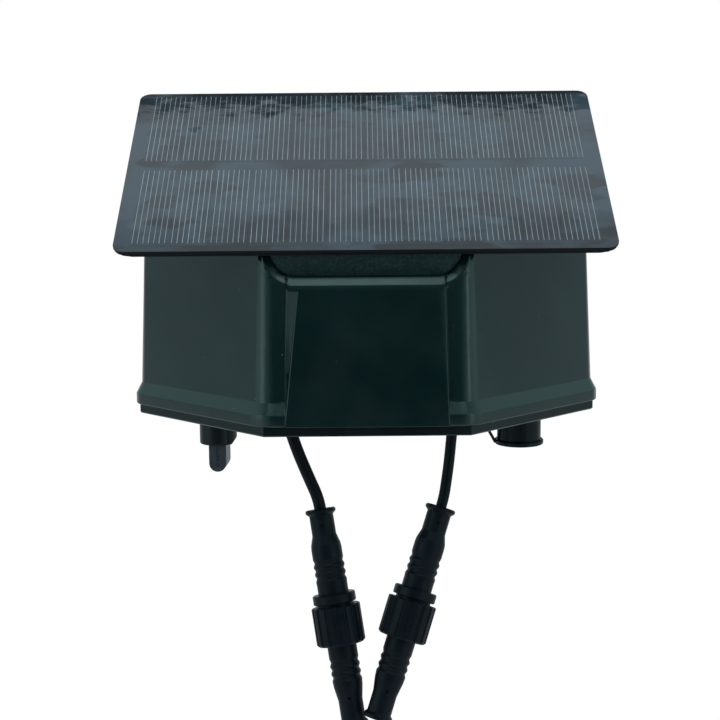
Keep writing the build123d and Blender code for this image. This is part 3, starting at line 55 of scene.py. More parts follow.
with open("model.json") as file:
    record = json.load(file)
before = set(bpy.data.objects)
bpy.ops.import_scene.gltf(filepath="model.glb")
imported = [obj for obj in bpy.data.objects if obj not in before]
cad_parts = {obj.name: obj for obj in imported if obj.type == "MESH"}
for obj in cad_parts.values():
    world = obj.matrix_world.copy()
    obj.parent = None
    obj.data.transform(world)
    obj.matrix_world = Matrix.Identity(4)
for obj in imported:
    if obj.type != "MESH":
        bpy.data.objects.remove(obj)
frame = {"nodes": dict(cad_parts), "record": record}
cad_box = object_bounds()

PANEL_SLOPE = math.radians(35.9)
PANEL_UP = Vector((0, math.cos(PANEL_SLOPE), math.sin(PANEL_SLOPE)))
PANEL_OUT = Vector((0, -math.sin(PANEL_SLOPE), math.cos(PANEL_SLOPE)))


def link(obj):
    """Puts a new object in the scene."""
    bpy.context.scene.collection.objects.link(obj)
    return obj


def maths(tree, operation, first, second=None):
    """One Math node in a tree; each input is another node's socket or a number."""
    node = tree.nodes.new("ShaderNodeMath")
    node.operation = operation
    for value, socket in zip((first, second), node.inputs):
        if isinstance(value, (int, float)):
            socket.default_value = value
        elif value is not None:
            tree.links.new(value, socket)
    return node.outputs[0]


def mixed_shader(tree, share, first, second):
    """Two shaders mixed by a share."""
    node = tree.nodes.new("ShaderNodeMixShader")
    for source, socket in zip((share, first, second), node.inputs):
        tree.links.new(source, socket)
    return node.outputs[0]


# ---------------------------------------------------------------- camera

LENS = 70.0
SENSOR = 36.0
EYE = Vector((-2.9, -683.4, 12.8)) * MM
LOOK_DOWN = math.radians(8.16)
LEAN = math.radians(-0.5)
NEAREST_SEEN = 0.01


def place_camera():
    """Camera in front of the panel, looking slightly down."""
    data = bpy.data.cameras.new("front_camera")
    data.lens = LENS
    data.sensor_width = SENSOR
    data.clip_start = NEAREST_SEEN
    camera = link(bpy.data.objects.new("front_camera", data))
    tilt = Matrix.Rotation(math.pi / 2 - LOOK_DOWN, 4, "X") @ Matrix.Rotation(LEAN, 4, "Z")
    camera.matrix_world = Matrix.Translation(EYE) @ tilt
    bpy.context.scene.camera = camera


place_camera()
bpy.context.scene.view_settings.view_transform = "Standard"


# ---------------------------------------------------------------- pigtails

# Each route is in millimetres, from the grommet down to the connector.
LEFT_WIDTH = 5.5 * MM
LEFT_ROUTE = (
    (-33.97, -63.50, -109.60),
    (-31.95, -63.60, -115.94),
    (-29.05, -64.10, -123.23),
    (-25.96, -64.95, -130.45),
    (-22.15, -66.50, -138.85),
    (-21.47, -67.40, -143.21),
)
RIGHT_WIDTH = 4.9 * MM
RIGHT_ROUTE = (
    (38.14, -63.50, -110.15),
    (37.51, -63.65, -117.01),
    (36.70, -64.35, -124.22),
    (35.58, -65.60, -131.54),
    (34.37, -67.57, -138.34),
    (33.00, -68.70, -142.48),
)


def run_cable(side, route, width):
    """One pigtail, a smooth round cable from its grommet to its connector."""
    data = bpy.data.curves.new(side + "_cable", "CURVE")
    data.dimensions = "3D"
    data.bevel_depth = 1.0    # times each point's radius
    data.bevel_resolution = 6
    data.resolution_u = 10
    data.use_fill_caps = True
    spline = data.splines.new("NURBS")
    spline.points.add(len(route) - 1)
    for point, place in zip(spline.points, route):
        point.co = (*(Vector(place) * MM), 1)
        point.radius = width / 2
    spline.order_u = 3
    spline.use_endpoint_u = True
    cable = link(bpy.data.objects.new(side + "_cable", data))
    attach(cable, "housing")
    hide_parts(side + "_pigtail")
    return cable


cables = [
    run_cable("left", LEFT_ROUTE, LEFT_WIDTH),
    run_cable("right", RIGHT_ROUTE, RIGHT_WIDTH),
]


# ---------------------------------------------------------------- room

# Colours of the room, as gloss shows them.
EVEN = (0.50, 0.55, 0.57)
DARK = (0.008, 0.012, 0.013)
DUSK = (0.14, 0.27, 0.27)
TEAL = (0.30, 0.62, 0.58)
WALL = (0.46, 0.62, 0.66)
HIGH_WALL = (0.33, 0.46, 0.49)
GLEAM = (0.70, 1.15, 1.10)
UPPER = (0.42, 0.69, 0.67)
WHITE = (1, 1, 1)
# Each level runs from the front, 0, round either side to the back, 1.
SIDES = ((0.20, TEAL), (0.38, GLEAM), (0.475, GLEAM))
LOW_ROOM = (
    (0.0, DARK), (0.09, DARK), *SIDES, (0.50, WALL), (0.60, WALL), (0.74, WHITE)
)
HIGH_ROOM = (
    (0.0, DUSK), (0.09, DUSK), *SIDES, (0.50, HIGH_WALL), (0.60, HIGH_WALL), (0.74, WHITE)
)
UPPER_ROOM = ((0.0, DUSK), (0.09, DUSK), *SIDES, (0.74, UPPER))
# Heights of the view, as sines, between which one thing turns into the next.
HORIZON = (-0.09, 0.02)
SKYLINE = (0.05, 0.11)
CEILING_START = (0.55, 0.85)
CEILING_DIMMED = 0.08


def ranged_value(tree, value, start, end, low=0.0, high=1.0):
    """A value's stretch from start to end, spread over low to high."""
    node = tree.nodes.new("ShaderNodeMapRange")
    node.inputs["From Min"].default_value = start
    node.inputs["From Max"].default_value = end
    node.inputs["To Min"].default_value = low
    node.inputs["To Max"].default_value = high
    tree.links.new(value, node.inputs["Value"])
    return node.outputs["Result"]


def ring_of_walls(tree, bearing, stops):
    """One level of the room: colours by how far round the view points."""
    ramp = tree.nodes.new("ShaderNodeValToRGB")
    steps = ramp.color_ramp.elements
    for index, (position, colour) in enumerate(stops):
        step = steps[index] if index < 2 else steps.new(position)
        step.position = position
        step.color = (*colour, 1)
    tree.links.new(bearing, ramp.inputs[0])
    return ramp.outputs[0]


def background(tree, colour):
    """A background of one colour, or of the colour that a socket gives."""
    node = tree.nodes.new("ShaderNodeBackground")
    if isinstance(colour, tuple):
        node.inputs["Color"].default_value = (*colour, 1)
    else:
        tree.links.new(colour, node.inputs["Color"])
    return node.outputs[0]


def light_room():
    """World: even light on matt surfaces; gloss shows a dark front and pale walls aside."""
    world = bpy.data.worlds.new("studio")
    bpy.context.scene.world = world
    world.use_nodes = True
    tree = world.node_tree
    nodes, links = tree.nodes, tree.links
    nodes.clear()
    rays = nodes.new("ShaderNodeLightPath")
    place = nodes.new("ShaderNodeTexCoord")
    parts = nodes.new("ShaderNodeSeparateXYZ")
    links.new(place.outputs["Generated"], parts.inputs[0])
    across = maths(tree, "ABSOLUTE", parts.outputs["X"])
    forward = maths(tree, "MULTIPLY", parts.outputs["Y"], -1)
    bearing = maths(tree, "DIVIDE", maths(tree, "ARCTAN2", across, forward), math.pi)
    walls = ring_of_walls(tree, bearing, LOW_ROOM)
    for stops, (start, end) in ((HIGH_ROOM, HORIZON), (UPPER_ROOM, SKYLINE)):
        level = nodes.new("ShaderNodeMix")
        level.data_type = "RGBA"
        height = ranged_value(tree, parts.outputs["Z"], start, end)
        links.new(height, level.inputs["Factor"])
        links.new(walls, level.inputs["A"])
        links.new(ring_of_walls(tree, bearing, stops), level.inputs["B"])
        walls = level.outputs["Result"]
    dimmed = nodes.new("ShaderNodeVectorMath")
    dimmed.operation = "SCALE"
    links.new(walls, dimmed.inputs[0])
    ceiling = ranged_value(tree, parts.outputs["Z"], *CEILING_START, 1, CEILING_DIMMED)
    links.new(ceiling, dimmed.inputs["Scale"])
    room = background(tree, dimmed.outputs[0])
    lit = mixed_shader(tree, rays.outputs["Is Glossy Ray"], background(tree, EVEN), room)
    seen = maths(
        tree, "MAXIMUM", rays.outputs["Is Camera Ray"], rays.outputs["Is Transmission Ray"]
    )
    whole = mixed_shader(tree, seen, lit, background(tree, WHITE))
    links.new(whole, nodes.new("ShaderNodeOutputWorld").inputs[0])


# ---------------------------------------------------------------- lamps and floor

COOL = (0.80, 0.91, 1.0)
SEA = (0.60, 1.0, 0.97)
ROOM_CENTRE = (0, 0, 0)
CEILING_HEIGHT = 1.15
CEILING_WIDTH = 1.6
# Strips of the ceiling: where each starts and ends in Y, and its radiance.
CEILING = (
    (-0.85, 0.02, 0.88),
    (0.02, 0.10, 0.84),
    (0.10, 0.17, 0.52),
    (0.17, 0.25, 0.86),
    (0.25, 0.40, 1.26),
)
FRONT_STRIP = -0.97
FLOOR_DROP = 0.22
FLOOR_GLOW = 0.97
FLOOR_LIGHT = 1.03
FLOOR_MIRRORED = 0.1
FLOOR_HALF = 1.5
FLOOR_FRONT = -1.2
FLOOR_BACK = 4
PALE = 0.9


def hang_lamp(name, place, aim, size, radiance, colour=COOL):
    """A flat soft lamp of size (across, up), facing aim."""
    data = bpy.data.lights.new(name, "AREA")
    data.shape = "RECTANGLE"
    data.size, data.size_y = size
    data.energy = radiance * math.pi * size[0] * size[1]
    data.color = colour
    lamp = link(bpy.data.objects.new(name, data))
    lamp.location = place
    lamp.rotation_euler = (Vector(aim) - Vector(place)).to_track_quat("-Z", "Y").to_euler()


def hang_ceiling():
    """Strips of lamps overhead, whose seams shape the gleam on the panel."""
    for index, (start, end, radiance) in enumerate(CEILING):
        middle = (start + end) / 2
        hang_lamp(
            "ceiling_%d" % index,
            place=(0, middle, CEILING_HEIGHT),
            aim=(0, middle, 0),
            size=(CEILING_WIDTH, end - start),
            radiance=radiance,
        )
    hang_lamp(
        "front_ceiling",
        place=(0, FRONT_STRIP, CEILING_HEIGHT),
        aim=(0, FRONT_STRIP, 0),
        size=(CEILING_WIDTH, 0.4),
        radiance=3.2,
        colour=SEA,
    )


def pale_finish():
    """The floor's material: white to the eye, matt and pale to the light."""
    pale = bpy.data.materials.new("pale_floor")
    pale.use_nodes = True
    tree = pale.node_tree
    nodes = tree.nodes
    nodes.clear()
    rays = nodes.new("ShaderNodeLightPath")
    matt = nodes.new("ShaderNodeBsdfDiffuse")
    matt.inputs["Color"].default_value = (PALE, PALE, PALE, 1)
    glow = nodes.new("ShaderNodeEmission")
    glow.inputs["Color"].default_value = (*WHITE, 1)
    glow.inputs["Strength"].default_value = FLOOR_LIGHT
    seen = maths(
        tree, "MAXIMUM", rays.outputs["Is Camera Ray"], rays.outputs["Is Transmission Ray"]
    )
    mirrored = maths(tree, "MULTIPLY", rays.outputs["Is Glossy Ray"], FLOOR_MIRRORED)
    share = maths(tree, "MULTIPLY", maths(tree, "MAXIMUM", seen, mirrored), FLOOR_GLOW)
    mixed = mixed_shader(tree, share, matt.outputs[0], glow.outputs[0])
    tree.links.new(mixed, nodes.new("ShaderNodeOutputMaterial").inputs[0])
    return pale


def lay_floor():
    """Pale floor that keeps the object's shadow."""
    low = cad_box[0].z - FLOOR_DROP
    data = bpy.data.meshes.new("floor")
    corners = [
        (-FLOOR_HALF, FLOOR_FRONT, low), (FLOOR_HALF, FLOOR_FRONT, low),
        (FLOOR_HALF, FLOOR_BACK, low), (-FLOOR_HALF, FLOOR_BACK, low),
    ]
    data.from_pydata(corners, [], [(0, 1, 2, 3)])
    data.materials.append(pale_finish())
    link(bpy.data.objects.new("floor", data))


light_room()
hang_ceiling()
hang_lamp("left_panel", place=(-1.2, -0.8, 0.2), aim=ROOM_CENTRE, size=(0.5, 1.2), radiance=0.9)
hang_lamp("right_strip", place=(1.0, -0.95, 0.15), aim=ROOM_CENTRE, size=(0.14, 1.2), radiance=2.4)
lay_floor()


# ---------------------------------------------------------------- finishes

GRIP_TOP = -117.3 * MM
GRIP_BLUR = 0.2 * MM


class Finish:
    """A material under way: one plain plastic, metal or rubber shader and what shapes it."""

    def __init__(self, name, colour, roughness, **sockets):
        self.material = bpy.data.materials.new(name)
        self.material.use_nodes = True
        self.tree = self.material.node_tree
        self.nodes = self.tree.nodes
        self.links = self.tree.links
        self.shader = self.nodes["Principled BSDF"]
        self.shader.inputs["Base Color"].default_value = (*colour, 1)
        self.shader.inputs["Roughness"].default_value = roughness
        for socket, value in sockets.items():
            self.shader.inputs[socket.replace("_", " ")].default_value = value
        self.place = self.nodes.new("ShaderNodeTexCoord").outputs["Object"]

    def mapped(self, scale=(1, 1, 1), turn=(0, 0, 0)):
        """Object coordinates, turned and stretched."""
        mapping = self.nodes.new("ShaderNodeMapping")
        mapping.inputs["Rotation"].default_value = turn
        mapping.inputs["Scale"].default_value = scale
        self.links.new(self.place, mapping.inputs["Vector"])
        return mapping.outputs["Vector"]

    def noise(self, scale, detail=2, where=None, rough=0.5):
        """Soft noise; scale counts features in a metre."""
        noise = self.nodes.new("ShaderNodeTexNoise")
        noise.inputs["Scale"].default_value = scale
        noise.inputs["Detail"].default_value = detail
        noise.inputs["Roughness"].default_value = rough
        self.links.new(where or self.place, noise.inputs["Vector"])
        return noise.outputs["Fac"]

    def flakes(self, scale):
        """Distance from the middle of the nearest of many flakes."""
        flakes = self.nodes.new("ShaderNodeTexVoronoi")
        flakes.inputs["Scale"].default_value = scale
        self.links.new(self.place, flakes.inputs["Vector"])
        return flakes.outputs["Distance"]

    def ranged(self, value, low, high, start=0.3, end=0.7):
        """A value's stretch from start to end, spread over low to high."""
        return ranged_value(self.tree, value, start, end, low, high)

    def dull_by(self, value, low, high):
        """Roughness from low to high."""
        self.links.new(self.ranged(value, low, high), self.shader.inputs["Roughness"])

    def tint_by(self, value, other, start=0.35, end=0.65):
        """Colour that wanders from the finish's own to another."""
        mix = self.nodes.new("ShaderNodeMix")
        mix.data_type = "RGBA"
        own = self.shader.inputs["Base Color"]
        if own.is_linked:
            self.links.new(own.links[0].from_socket, mix.inputs["A"])
        else:
            mix.inputs["A"].default_value = own.default_value
        mix.inputs["B"].default_value = (*other, 1)
        self.links.new(self.ranged(value, 0, 1, start, end), mix.inputs["Factor"])
        self.links.new(mix.outputs["Result"], own)

    def bump_by(self, value, depth, strength, socket="Normal"):
        """Relief of that depth in metres."""
        bump = self.nodes.new("ShaderNodeBump")
        bump.inputs["Distance"].default_value = depth
        bump.inputs["Strength"].default_value = strength
        self.links.new(value, bump.inputs["Height"])
        own = self.shader.inputs[socket]
        if own.is_linked:
            self.links.new(own.links[0].from_socket, bump.inputs["Normal"])
        self.links.new(bump.outputs["Normal"], own)


def times(colour, factor):
    """A colour made darker or paler, at most white."""
    return tuple(min(1, part * factor) for part in colour)


def moulded_gloss(name, colour, roughness, ior):
    """Gloss moulding: faint orange peel, a cloudiness left by handling and a little settled dust.
    """
    finish = Finish(name, colour, roughness, IOR=ior)
    finish.dull_by(finish.noise(35, detail=3), roughness - 0.05, roughness + 0.07)
    finish.bump_by(finish.noise(420, detail=1), depth=0.05 * MM, strength=0.35)
    hazed = tuple(part * 1.25 + 0.0006 for part in colour)
    finish.tint_by(finish.noise(60, detail=4), hazed, start=0.4, end=0.8)
    dust = finish.ranged(finish.flakes(110), 1, 0, start=0, end=0.035)
    finish.tint_by(dust, (0.2, 0.24, 0.24), start=0, end=1)
    return finish


def sparked_matt(name, colour):
    """Spark-eroded mould texture on the lid."""
    finish = Finish(name, colour, 0.42, Specular_IOR_Level=0.35)
    finish.bump_by(finish.noise(900, rough=0.7), depth=0.5 * MM, strength=1)
    finish.dull_by(finish.noise(500), 0.32, 0.6)
    finish.tint_by(finish.noise(1100, detail=1), times(colour, 2.6), start=0.45, end=0.75)
    return finish


def satin_black(name, colour, roughness, specular=0.5):
    """Dark rubber or plastic with a fine grain and slight wear in its sheen."""
    finish = Finish(name, colour, roughness, Specular_IOR_Level=specular)
    finish.bump_by(finish.noise(800), depth=0.04 * MM, strength=0.5)
    finish.dull_by(finish.noise(90, detail=3), roughness - 0.06, roughness + 0.08)
    finish.tint_by(finish.noise(140, detail=3), times(colour, 1.5))
    return finish


def two_tone_black(name, grip, skirt):
    """Dial plastic: a grey grip below a skirt that is darker above GRIP_TOP."""
    finish = Finish(name, grip, 0.32, Specular_IOR_Level=0.2)
    finish.bump_by(finish.noise(800), depth=0.04 * MM, strength=0.5)
    finish.tint_by(finish.noise(260, detail=3), times(grip, 1.5))
    parts = finish.nodes.new("ShaderNodeSeparateXYZ")
    finish.links.new(finish.place, parts.inputs[0])
    finish.tint_by(parts.outputs["Z"], skirt, GRIP_TOP - GRIP_BLUR, GRIP_TOP + GRIP_BLUR)
    return finish


def ripple_film(finish, along):
    """Relief of the film: a pillow over each cell, slow waves and small ripples."""
    pillows = finish.nodes.new("ShaderNodeTexWave")
    pillows.inputs["Scale"].default_value = 19
    pillows.inputs["Distortion"].default_value = 3
    pillows.inputs["Detail"].default_value = 2
    pillows.inputs["Detail Scale"].default_value = 1.5
    finish.links.new(along, pillows.inputs["Vector"])
    for relief, depth, strength in (
        (pillows.outputs["Fac"], 0.12 * MM, 0.5),
        (finish.noise(14, where=along), 0.6 * MM, 0.35),
        (finish.noise(70, detail=3, where=along), 0.08 * MM, 0.5),
    ):
        finish.bump_by(relief, depth, strength, "Coat Normal")


def under_film(name, colour, sides, roughness=0.4, with_painted_gleam=True):
    """What lies under the panel's clear film, a gloss coat that ripples over every cell."""
    finish = Finish(
        name, colour, roughness, Specular_IOR_Level=0.1,
        Coat_Weight=1, Coat_Roughness=0.05, Coat_IOR=1.5,
    )
    along = finish.mapped(scale=(1.0, 1.5, 1.5), turn=(-PANEL_SLOPE, 0, 0))
    ripple_film(finish, along)
    # painted reflection: brighter and darker patches in the colour stand in for the mottled gleam
    # of the rippled film
    if with_painted_gleam:
        painted_bright_patches = finish.noise(17, detail=4, where=along, rough=0.4)
        finish.tint_by(painted_bright_patches, times(colour, 4), start=0.46, end=0.54)
        slanted = finish.mapped(scale=(0.8, 1.9, 1.9), turn=(-PANEL_SLOPE, 0, 0.5))
        painted_dark_patches = finish.noise(31, detail=3, where=slanted)
        finish.tint_by(painted_dark_patches, times(colour, 0.6), start=0.53, end=0.58)
    # the film covers the face alone: the coat ends where a side turns away from it
    facing = finish.nodes.new("ShaderNodeVectorMath")
    facing.operation = "DOT_PRODUCT"
    geometry = finish.nodes.new("ShaderNodeNewGeometry")
    finish.links.new(geometry.outputs["Normal"], facing.inputs[0])
    facing.inputs[1].default_value = PANEL_OUT
    # each side takes a colour of its own; the cells' pale sides are painted light against the
    # shade along their thin step
    finish.tint_by(facing.outputs["Value"], sides, start=0.9, end=0.6)
    covered = finish.ranged(facing.outputs["Value"], 0, 1, start=0.6, end=0.9)
    finish.links.new(covered, finish.shader.inputs["Coat Weight"])
    return finish


def cut_cell(name, colour, patches, sides):
    """Blue-grey silicon: faint crystal patches under the film."""
    finish = under_film(name, colour, sides)
    finish.tint_by(finish.flakes(160), patches, start=0.2, end=0.9)
    return finish


def printed_silver(name, colour, worn, sides):
    """The thin silver fingers printed on the cells."""
    finish = under_film(name, colour, sides, roughness=0.35, with_painted_gleam=False)
    finish.dull_by(finish.noise(600), 0.3, 0.5)
    finish.tint_by(finish.noise(60), worn)
    return finish


def plain_metal(name, colour, roughness):
    """Turned or plated metal with fine lines."""
    finish = Finish(name, colour, roughness, Metallic=1)
    lines = finish.mapped(scale=(1, 1, 12))
    finish.dull_by(finish.noise(700, where=lines), roughness - 0.08, roughness + 0.1)
    finish.bump_by(finish.noise(900, detail=1, where=lines), depth=0.02 * MM, strength=0.4)
    return finish


def circuit_green(name, colour, tracks):
    """Solder mask over its tracks."""
    finish = Finish(name, colour, 0.35, Coat_Weight=0.4)
    pattern = finish.nodes.new("ShaderNodeTexBrick")
    pattern.inputs["Scale"].default_value = 160
    pattern.inputs["Mortar Size"].default_value = 0.08
    finish.links.new(finish.place, pattern.inputs["Vector"])
    finish.tint_by(pattern.outputs["Fac"], tracks, start=0, end=1)
    return finish


def plain_plastic(name, colour, roughness):
    """Small parts inside: plain plastic with a fine grain."""
    finish = Finish(name, colour, roughness)
    finish.bump_by(finish.noise(1200), depth=0.03 * MM, strength=0.4)
    finish.tint_by(finish.noise(200, detail=3), times(colour, 1.2))
    return finish


# Each row is a finish's name, its kind, and what that kind takes after the name.
FINISHES = {
    name: make(name, *values).material
    for name, make, *values in (
        ("housing_green", moulded_gloss, (0.0012, 0.0092, 0.0098), 0.2, 1.46),
        ("lid_green", sparked_matt, (0.0038, 0.0190, 0.0205)),
        ("base_green", moulded_gloss, (0.0010, 0.0048, 0.0058), 0.24, 1.32),
        ("panel_black", satin_black, (0.002, 0.003, 0.004), 0.35, 0.08),
        ("panel_board", under_film, (0.006, 0.010, 0.014), (0.002, 0.003, 0.004)),
        (
            "cell_blue", cut_cell,
            # the last colour is the cells' sides, painted pale: painted light so their thin step
            # shows no shade line
            (0.007, 0.012, 0.017), (0.014, 0.022, 0.031), (0.14, 0.17, 0.20),
        ),
        (
            "finger_silver", printed_silver,
            (0.36, 0.39, 0.42), (0.25, 0.27, 0.29), (0.1, 0.1, 0.1),
        ),
        ("seal_rubber", satin_black, (0.02, 0.02, 0.02), 0.6),
        ("screw_steel", plain_metal, (0.5, 0.5, 0.5), 0.3),
        ("circuit_board", circuit_green, (0.01, 0.11, 0.05), (0.03, 0.2, 0.09)),
        ("component_black", plain_plastic, (0.012, 0.012, 0.013), 0.45),
        ("relay_blue", plain_plastic, (0.01, 0.05, 0.25), 0.35),
        ("capacitor_can", plain_metal, (0.5, 0.5, 0.55), 0.3),
        ("header_white", plain_plastic, (0.6, 0.6, 0.57), 0.4),
        ("cell_wrap", plain_plastic, (0.05, 0.2, 0.05), 0.3),
        ("contact_metal", plain_metal, (0.6, 0.6, 0.58), 0.25),
        ("port_black", satin_black, (0.003, 0.004, 0.005), 0.4, 0.2),
        ("tether_rubber", satin_black, (0.004, 0.005, 0.006), 0.5, 0.2),
        ("cable_black", satin_black, (0.002, 0.003, 0.005), 0.4, 0.1),
        ("connector_black", satin_black, (0.002, 0.003, 0.006), 0.4, 0.11),
        ("pin_brass", plain_metal, (0.6, 0.4, 0.15), 0.25),
        ("dial_black", two_tone_black, (0.026, 0.031, 0.040), (0.002, 0.004, 0.005)),
        ("cap_black", satin_black, (0.002, 0.0035, 0.005), 0.33, 0.13),
    )
}


def wear(obj, finish):
    """Gives a piece one finish all over."""
    obj.data.materials.clear()
    obj.data.materials.append(FINISHES[finish])


for subpart in frame["record"]["subparts"]:
    wear(frame["nodes"][subpart["node"]], subpart["material_slot"])
for cable in cables:
    wear(cable, "cable_black")


# ---------------------------------------------------------------- how pieces are made

MERGE_REACH = 0.002 * MM


def skin_over(name, rings, crease=None):
    """A closed mesh over rings of points in metres, smooth up to a crease's angle if given."""
    shape = bmesh.new()
    loops = [[shape.verts.new(spot) for spot in ring] for ring in rings]
    for first, second in zip(loops, loops[1:]):
        for index in range(len(first)):
            after = (index + 1) % len(first)
            side = shape.faces.new((first[index], first[after], second[after], second[index]))
            side.smooth = crease is not None
    shape.faces.new(loops[0][::-1])
    shape.faces.new(loops[-1])
    bmesh.ops.recalc_face_normals(shape, faces=shape.faces)
    mesh = bpy.data.meshes.new(name)
    shape.to_mesh(mesh)
    shape.free()
    if crease is not None:
        mesh.set_sharp_from_angle(angle=crease)
    return mesh


def add_piece(name, mesh, slot, body=None, instead_of=None):
    """Puts a finished mesh in the scene as a piece that rides on a body, in one finish."""
    piece = link(bpy.data.objects.new(name, mesh))
    if body:
        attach(piece, body)
    if instead_of:
        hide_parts(instead_of)
    wear(piece, slot)
    return piece


def merged_copy(node):
    """A copy of a solid's mesh, with its doubled corners merged, open for editing."""
    shape = bmesh.new()
    shape.from_mesh(frame["nodes"][node].data)
    bmesh.ops.remove_doubles(shape, verts=shape.verts, dist=MERGE_REACH)
    return shape


# ---------------------------------------------------------------- moulded edges

EDGE_ANGLE = math.radians(22)
FLAT_ANGLE = math.radians(0.03)
NOTCH_EDGE = 0.8 * MM
BOSS_EDGE = 0.4 * MM
PLAIN_EDGE = 0.3 * MM
NO_EDGE = 0
OVERSHOOT = 0.35 * MM
UPRIGHT = 0.7
BOSS_HALF = 37.0 * MM
NOTCH_HALF = 50.0 * MM
NOTCH_LOW = -41.0 * MM
WALL_FACE = -89.0 * MM
BOSS_FACE = -94.0 * MM


def edge_width(middle, along):
    """How wide the moulding rounds an edge of the hood, by where the edge runs."""
    if middle.y > WALL_FACE:
        return PLAIN_EDGE if middle.z < NOTCH_LOW else NO_EDGE
    if middle.z > NOTCH_LOW and abs(middle.x) < NOTCH_HALF:
        return NOTCH_EDGE
    if abs(along.z) > UPRIGHT and abs(middle.x) < BOSS_HALF:
        return BOSS_EDGE if middle.y < BOSS_FACE else NO_EDGE
    return PLAIN_EDGE


def moulded(node, body, slot):
    """A merged copy of a solid whose sharp edges are rounded as a moulding's are."""
    source = frame["nodes"][node].data
    shape = merged_copy(node)
    bmesh.ops.dissolve_limit(
        shape, angle_limit=FLAT_ANGLE, verts=shape.verts, edges=shape.edges
    )
    weight = shape.edges.layers.float.new("bevel_weight_edge")
    for edge in shape.edges:
        if len(edge.link_faces) == 2 and edge.calc_face_angle(0) > EDGE_ANGLE:
            first, second = (vertex.co for vertex in edge.verts)
            along = (second - first).normalized()
            edge[weight] = edge_width((first + second) / 2, along) / NOTCH_EDGE
            edge.smooth = False
    for face in shape.faces:
        face.smooth = True
    mesh = source.copy()
    shape.to_mesh(mesh)
    shape.free()
    seed = link(bpy.data.objects.new("bevel_seed", mesh))
    bevel = seed.modifiers.new("rounded_edges", "BEVEL")
    bevel.width = NOTCH_EDGE
    bevel.segments = 3
    bevel.limit_method = "WEIGHT"
    bevel.use_clamp_overlap = False
    bevel.harden_normals = True
    depsgraph = bpy.context.evaluated_depsgraph_get()
    rounded = bpy.data.meshes.new_from_object(seed.evaluated_get(depsgraph))
    bpy.data.objects.remove(seed)
    # where short edges meet, the rounding can overshoot: such corners go back to the solid
    skin = BVHTree.FromPolygons(
        [vertex.co for vertex in source.vertices],
        [tuple(face.vertices) for face in source.polygons],
    )
    for vertex in rounded.vertices:
        nearest, _, _, distance = skin.find_nearest(vertex.co)
        if distance > OVERSHOOT:
            vertex.co = nearest
    return add_piece("moulded_" + node, rounded, slot, body, instead_of=node)


moulded("hood_shell", "housing", "housing_green")


# ---------------------------------------------------------------- rim of the notch

# Millimetres, as the housing was drawn; z is the frame's own.
FRONT_Y = -93.5
DRAFT = math.tan(math.radians(2.56))
FOOT_Z = -100.6
FOOT_STEP = 0.4
FACE_HALF = 44.85
FACE_TURN = math.pi / 4
CORNER_ROUND = 14.0
BOSS_Y = -95.8
BOSS_TOP_Z = -40.0
# Half widths at the boss's foot and front, low down and at the notch.
BOSS_LINES = ((35.8, 35.2), (33.9, 28.7))
FILLED_LINES = ((35.8, 35.2), (33.9, 33.3))
NOTCH_FLOOR = -36.10
NOTCH_INNER_HALF = 35.20
NOTCH_INNER_ROUND = 9.8
NOTCH_SIDE = math.radians(52.5)
NOTCH_TOP = -21.0
ROUND_STEPS = 12
SIDE_STEPS = 8
# Each point is out from the notch's inner line, and deeper than the wall's front.
RIM_PROFILE = (
    (6.10, -0.02), (4.25, -0.02), (3.90, 0.03), (3.60, 0.16), (3.20, 0.38), (2.20, 0.96),
    (1.20, 1.53), (0.50, 1.95), (0.18, 2.25), (0.02, 2.65),
)
RIM_BEHIND = ((0.0, 3.2), (3.9, 1.4))
RIM_BACK = -87.2
RIM_CREASE = math.radians(35)


def boss_edges(z, lines):
    """Half widths of the raised boss at a height: at its foot and at its front."""
    share = min(1, (z - FOOT_Z) / (BOSS_TOP_Z - FOOT_Z))
    return [low + share * (high - low) for low, high in zip(*lines)]


def wall_front(x, z):
    """Y of the front of the housing's wall, as if it had no notch, with the raised boss."""
    across = abs(x)
    inset = FOOT_STEP + (z - FOOT_Z) * DRAFT
    flat = FRONT_Y + inset
    radius = CORNER_ROUND - inset
    turn = FACE_HALF - (inset + radius) * math.tan(FACE_TURN / 2)
    past = max(0, across - turn)
    on_round = min(past, radius * math.sin(FACE_TURN))
    flat += radius - math.sqrt(radius**2 - on_round**2) + past - on_round
    foot, top = boss_edges(z, FILLED_LINES)
    if across < foot:
        flat -= (flat - BOSS_Y) * min(1, (foot - across) / (foot - top))
    return flat


def notch_path():
    """Inner outline of the notch: (x, z) and the way outwards, from the left end to the right."""
    reach = NOTCH_INNER_ROUND * math.tan(NOTCH_SIDE / 2)
    centre = Vector((NOTCH_INNER_HALF - reach, NOTCH_FLOOR + NOTCH_INNER_ROUND))
    right = [(Vector((x, NOTCH_FLOOR)), Vector((0, -1))) for x in range(int(centre.x))]
    for step in range(ROUND_STEPS + 1):
        angle = NOTCH_SIDE * step / ROUND_STEPS
        way = Vector((math.sin(angle), -math.cos(angle)))
        right.append((centre + NOTCH_INNER_ROUND * way, way))
    last, way = right[-1]
    along = Vector((math.cos(NOTCH_SIDE), math.sin(NOTCH_SIDE)))
    length = (NOTCH_TOP - last.y) / along.y
    for step in range(1, SIDE_STEPS + 1):
        right.append((last + along * length * step / SIDE_STEPS, way))
    left = [(Vector((-p.x, p.y)), Vector((-w.x, w.y))) for p, w in reversed(right[1:])]
    return left + right


def rim_of_notch():
    """The chamfered edge round the notch, which follows the wall and the boss."""
    rings = []
    for place, way in notch_path():
        ring = []
        for out, depth in RIM_PROFILE:
            spot = place + way * out
            ring.append(Vector((spot.x, wall_front(*spot) + depth, spot.y)) * MM)
        for out, depth in RIM_BEHIND:
            spot = place + way * out
            behind = max(RIM_BACK, wall_front(*spot) + depth)
            ring.append(Vector((spot.x, behind, spot.y)) * MM)
        rings.append(ring)
    add_piece("notch_rim", skin_over("notch_rim", rings, RIM_CREASE), "housing_green", "housing")


rim_of_notch()


# ---------------------------------------------------------------- right edge of the boss

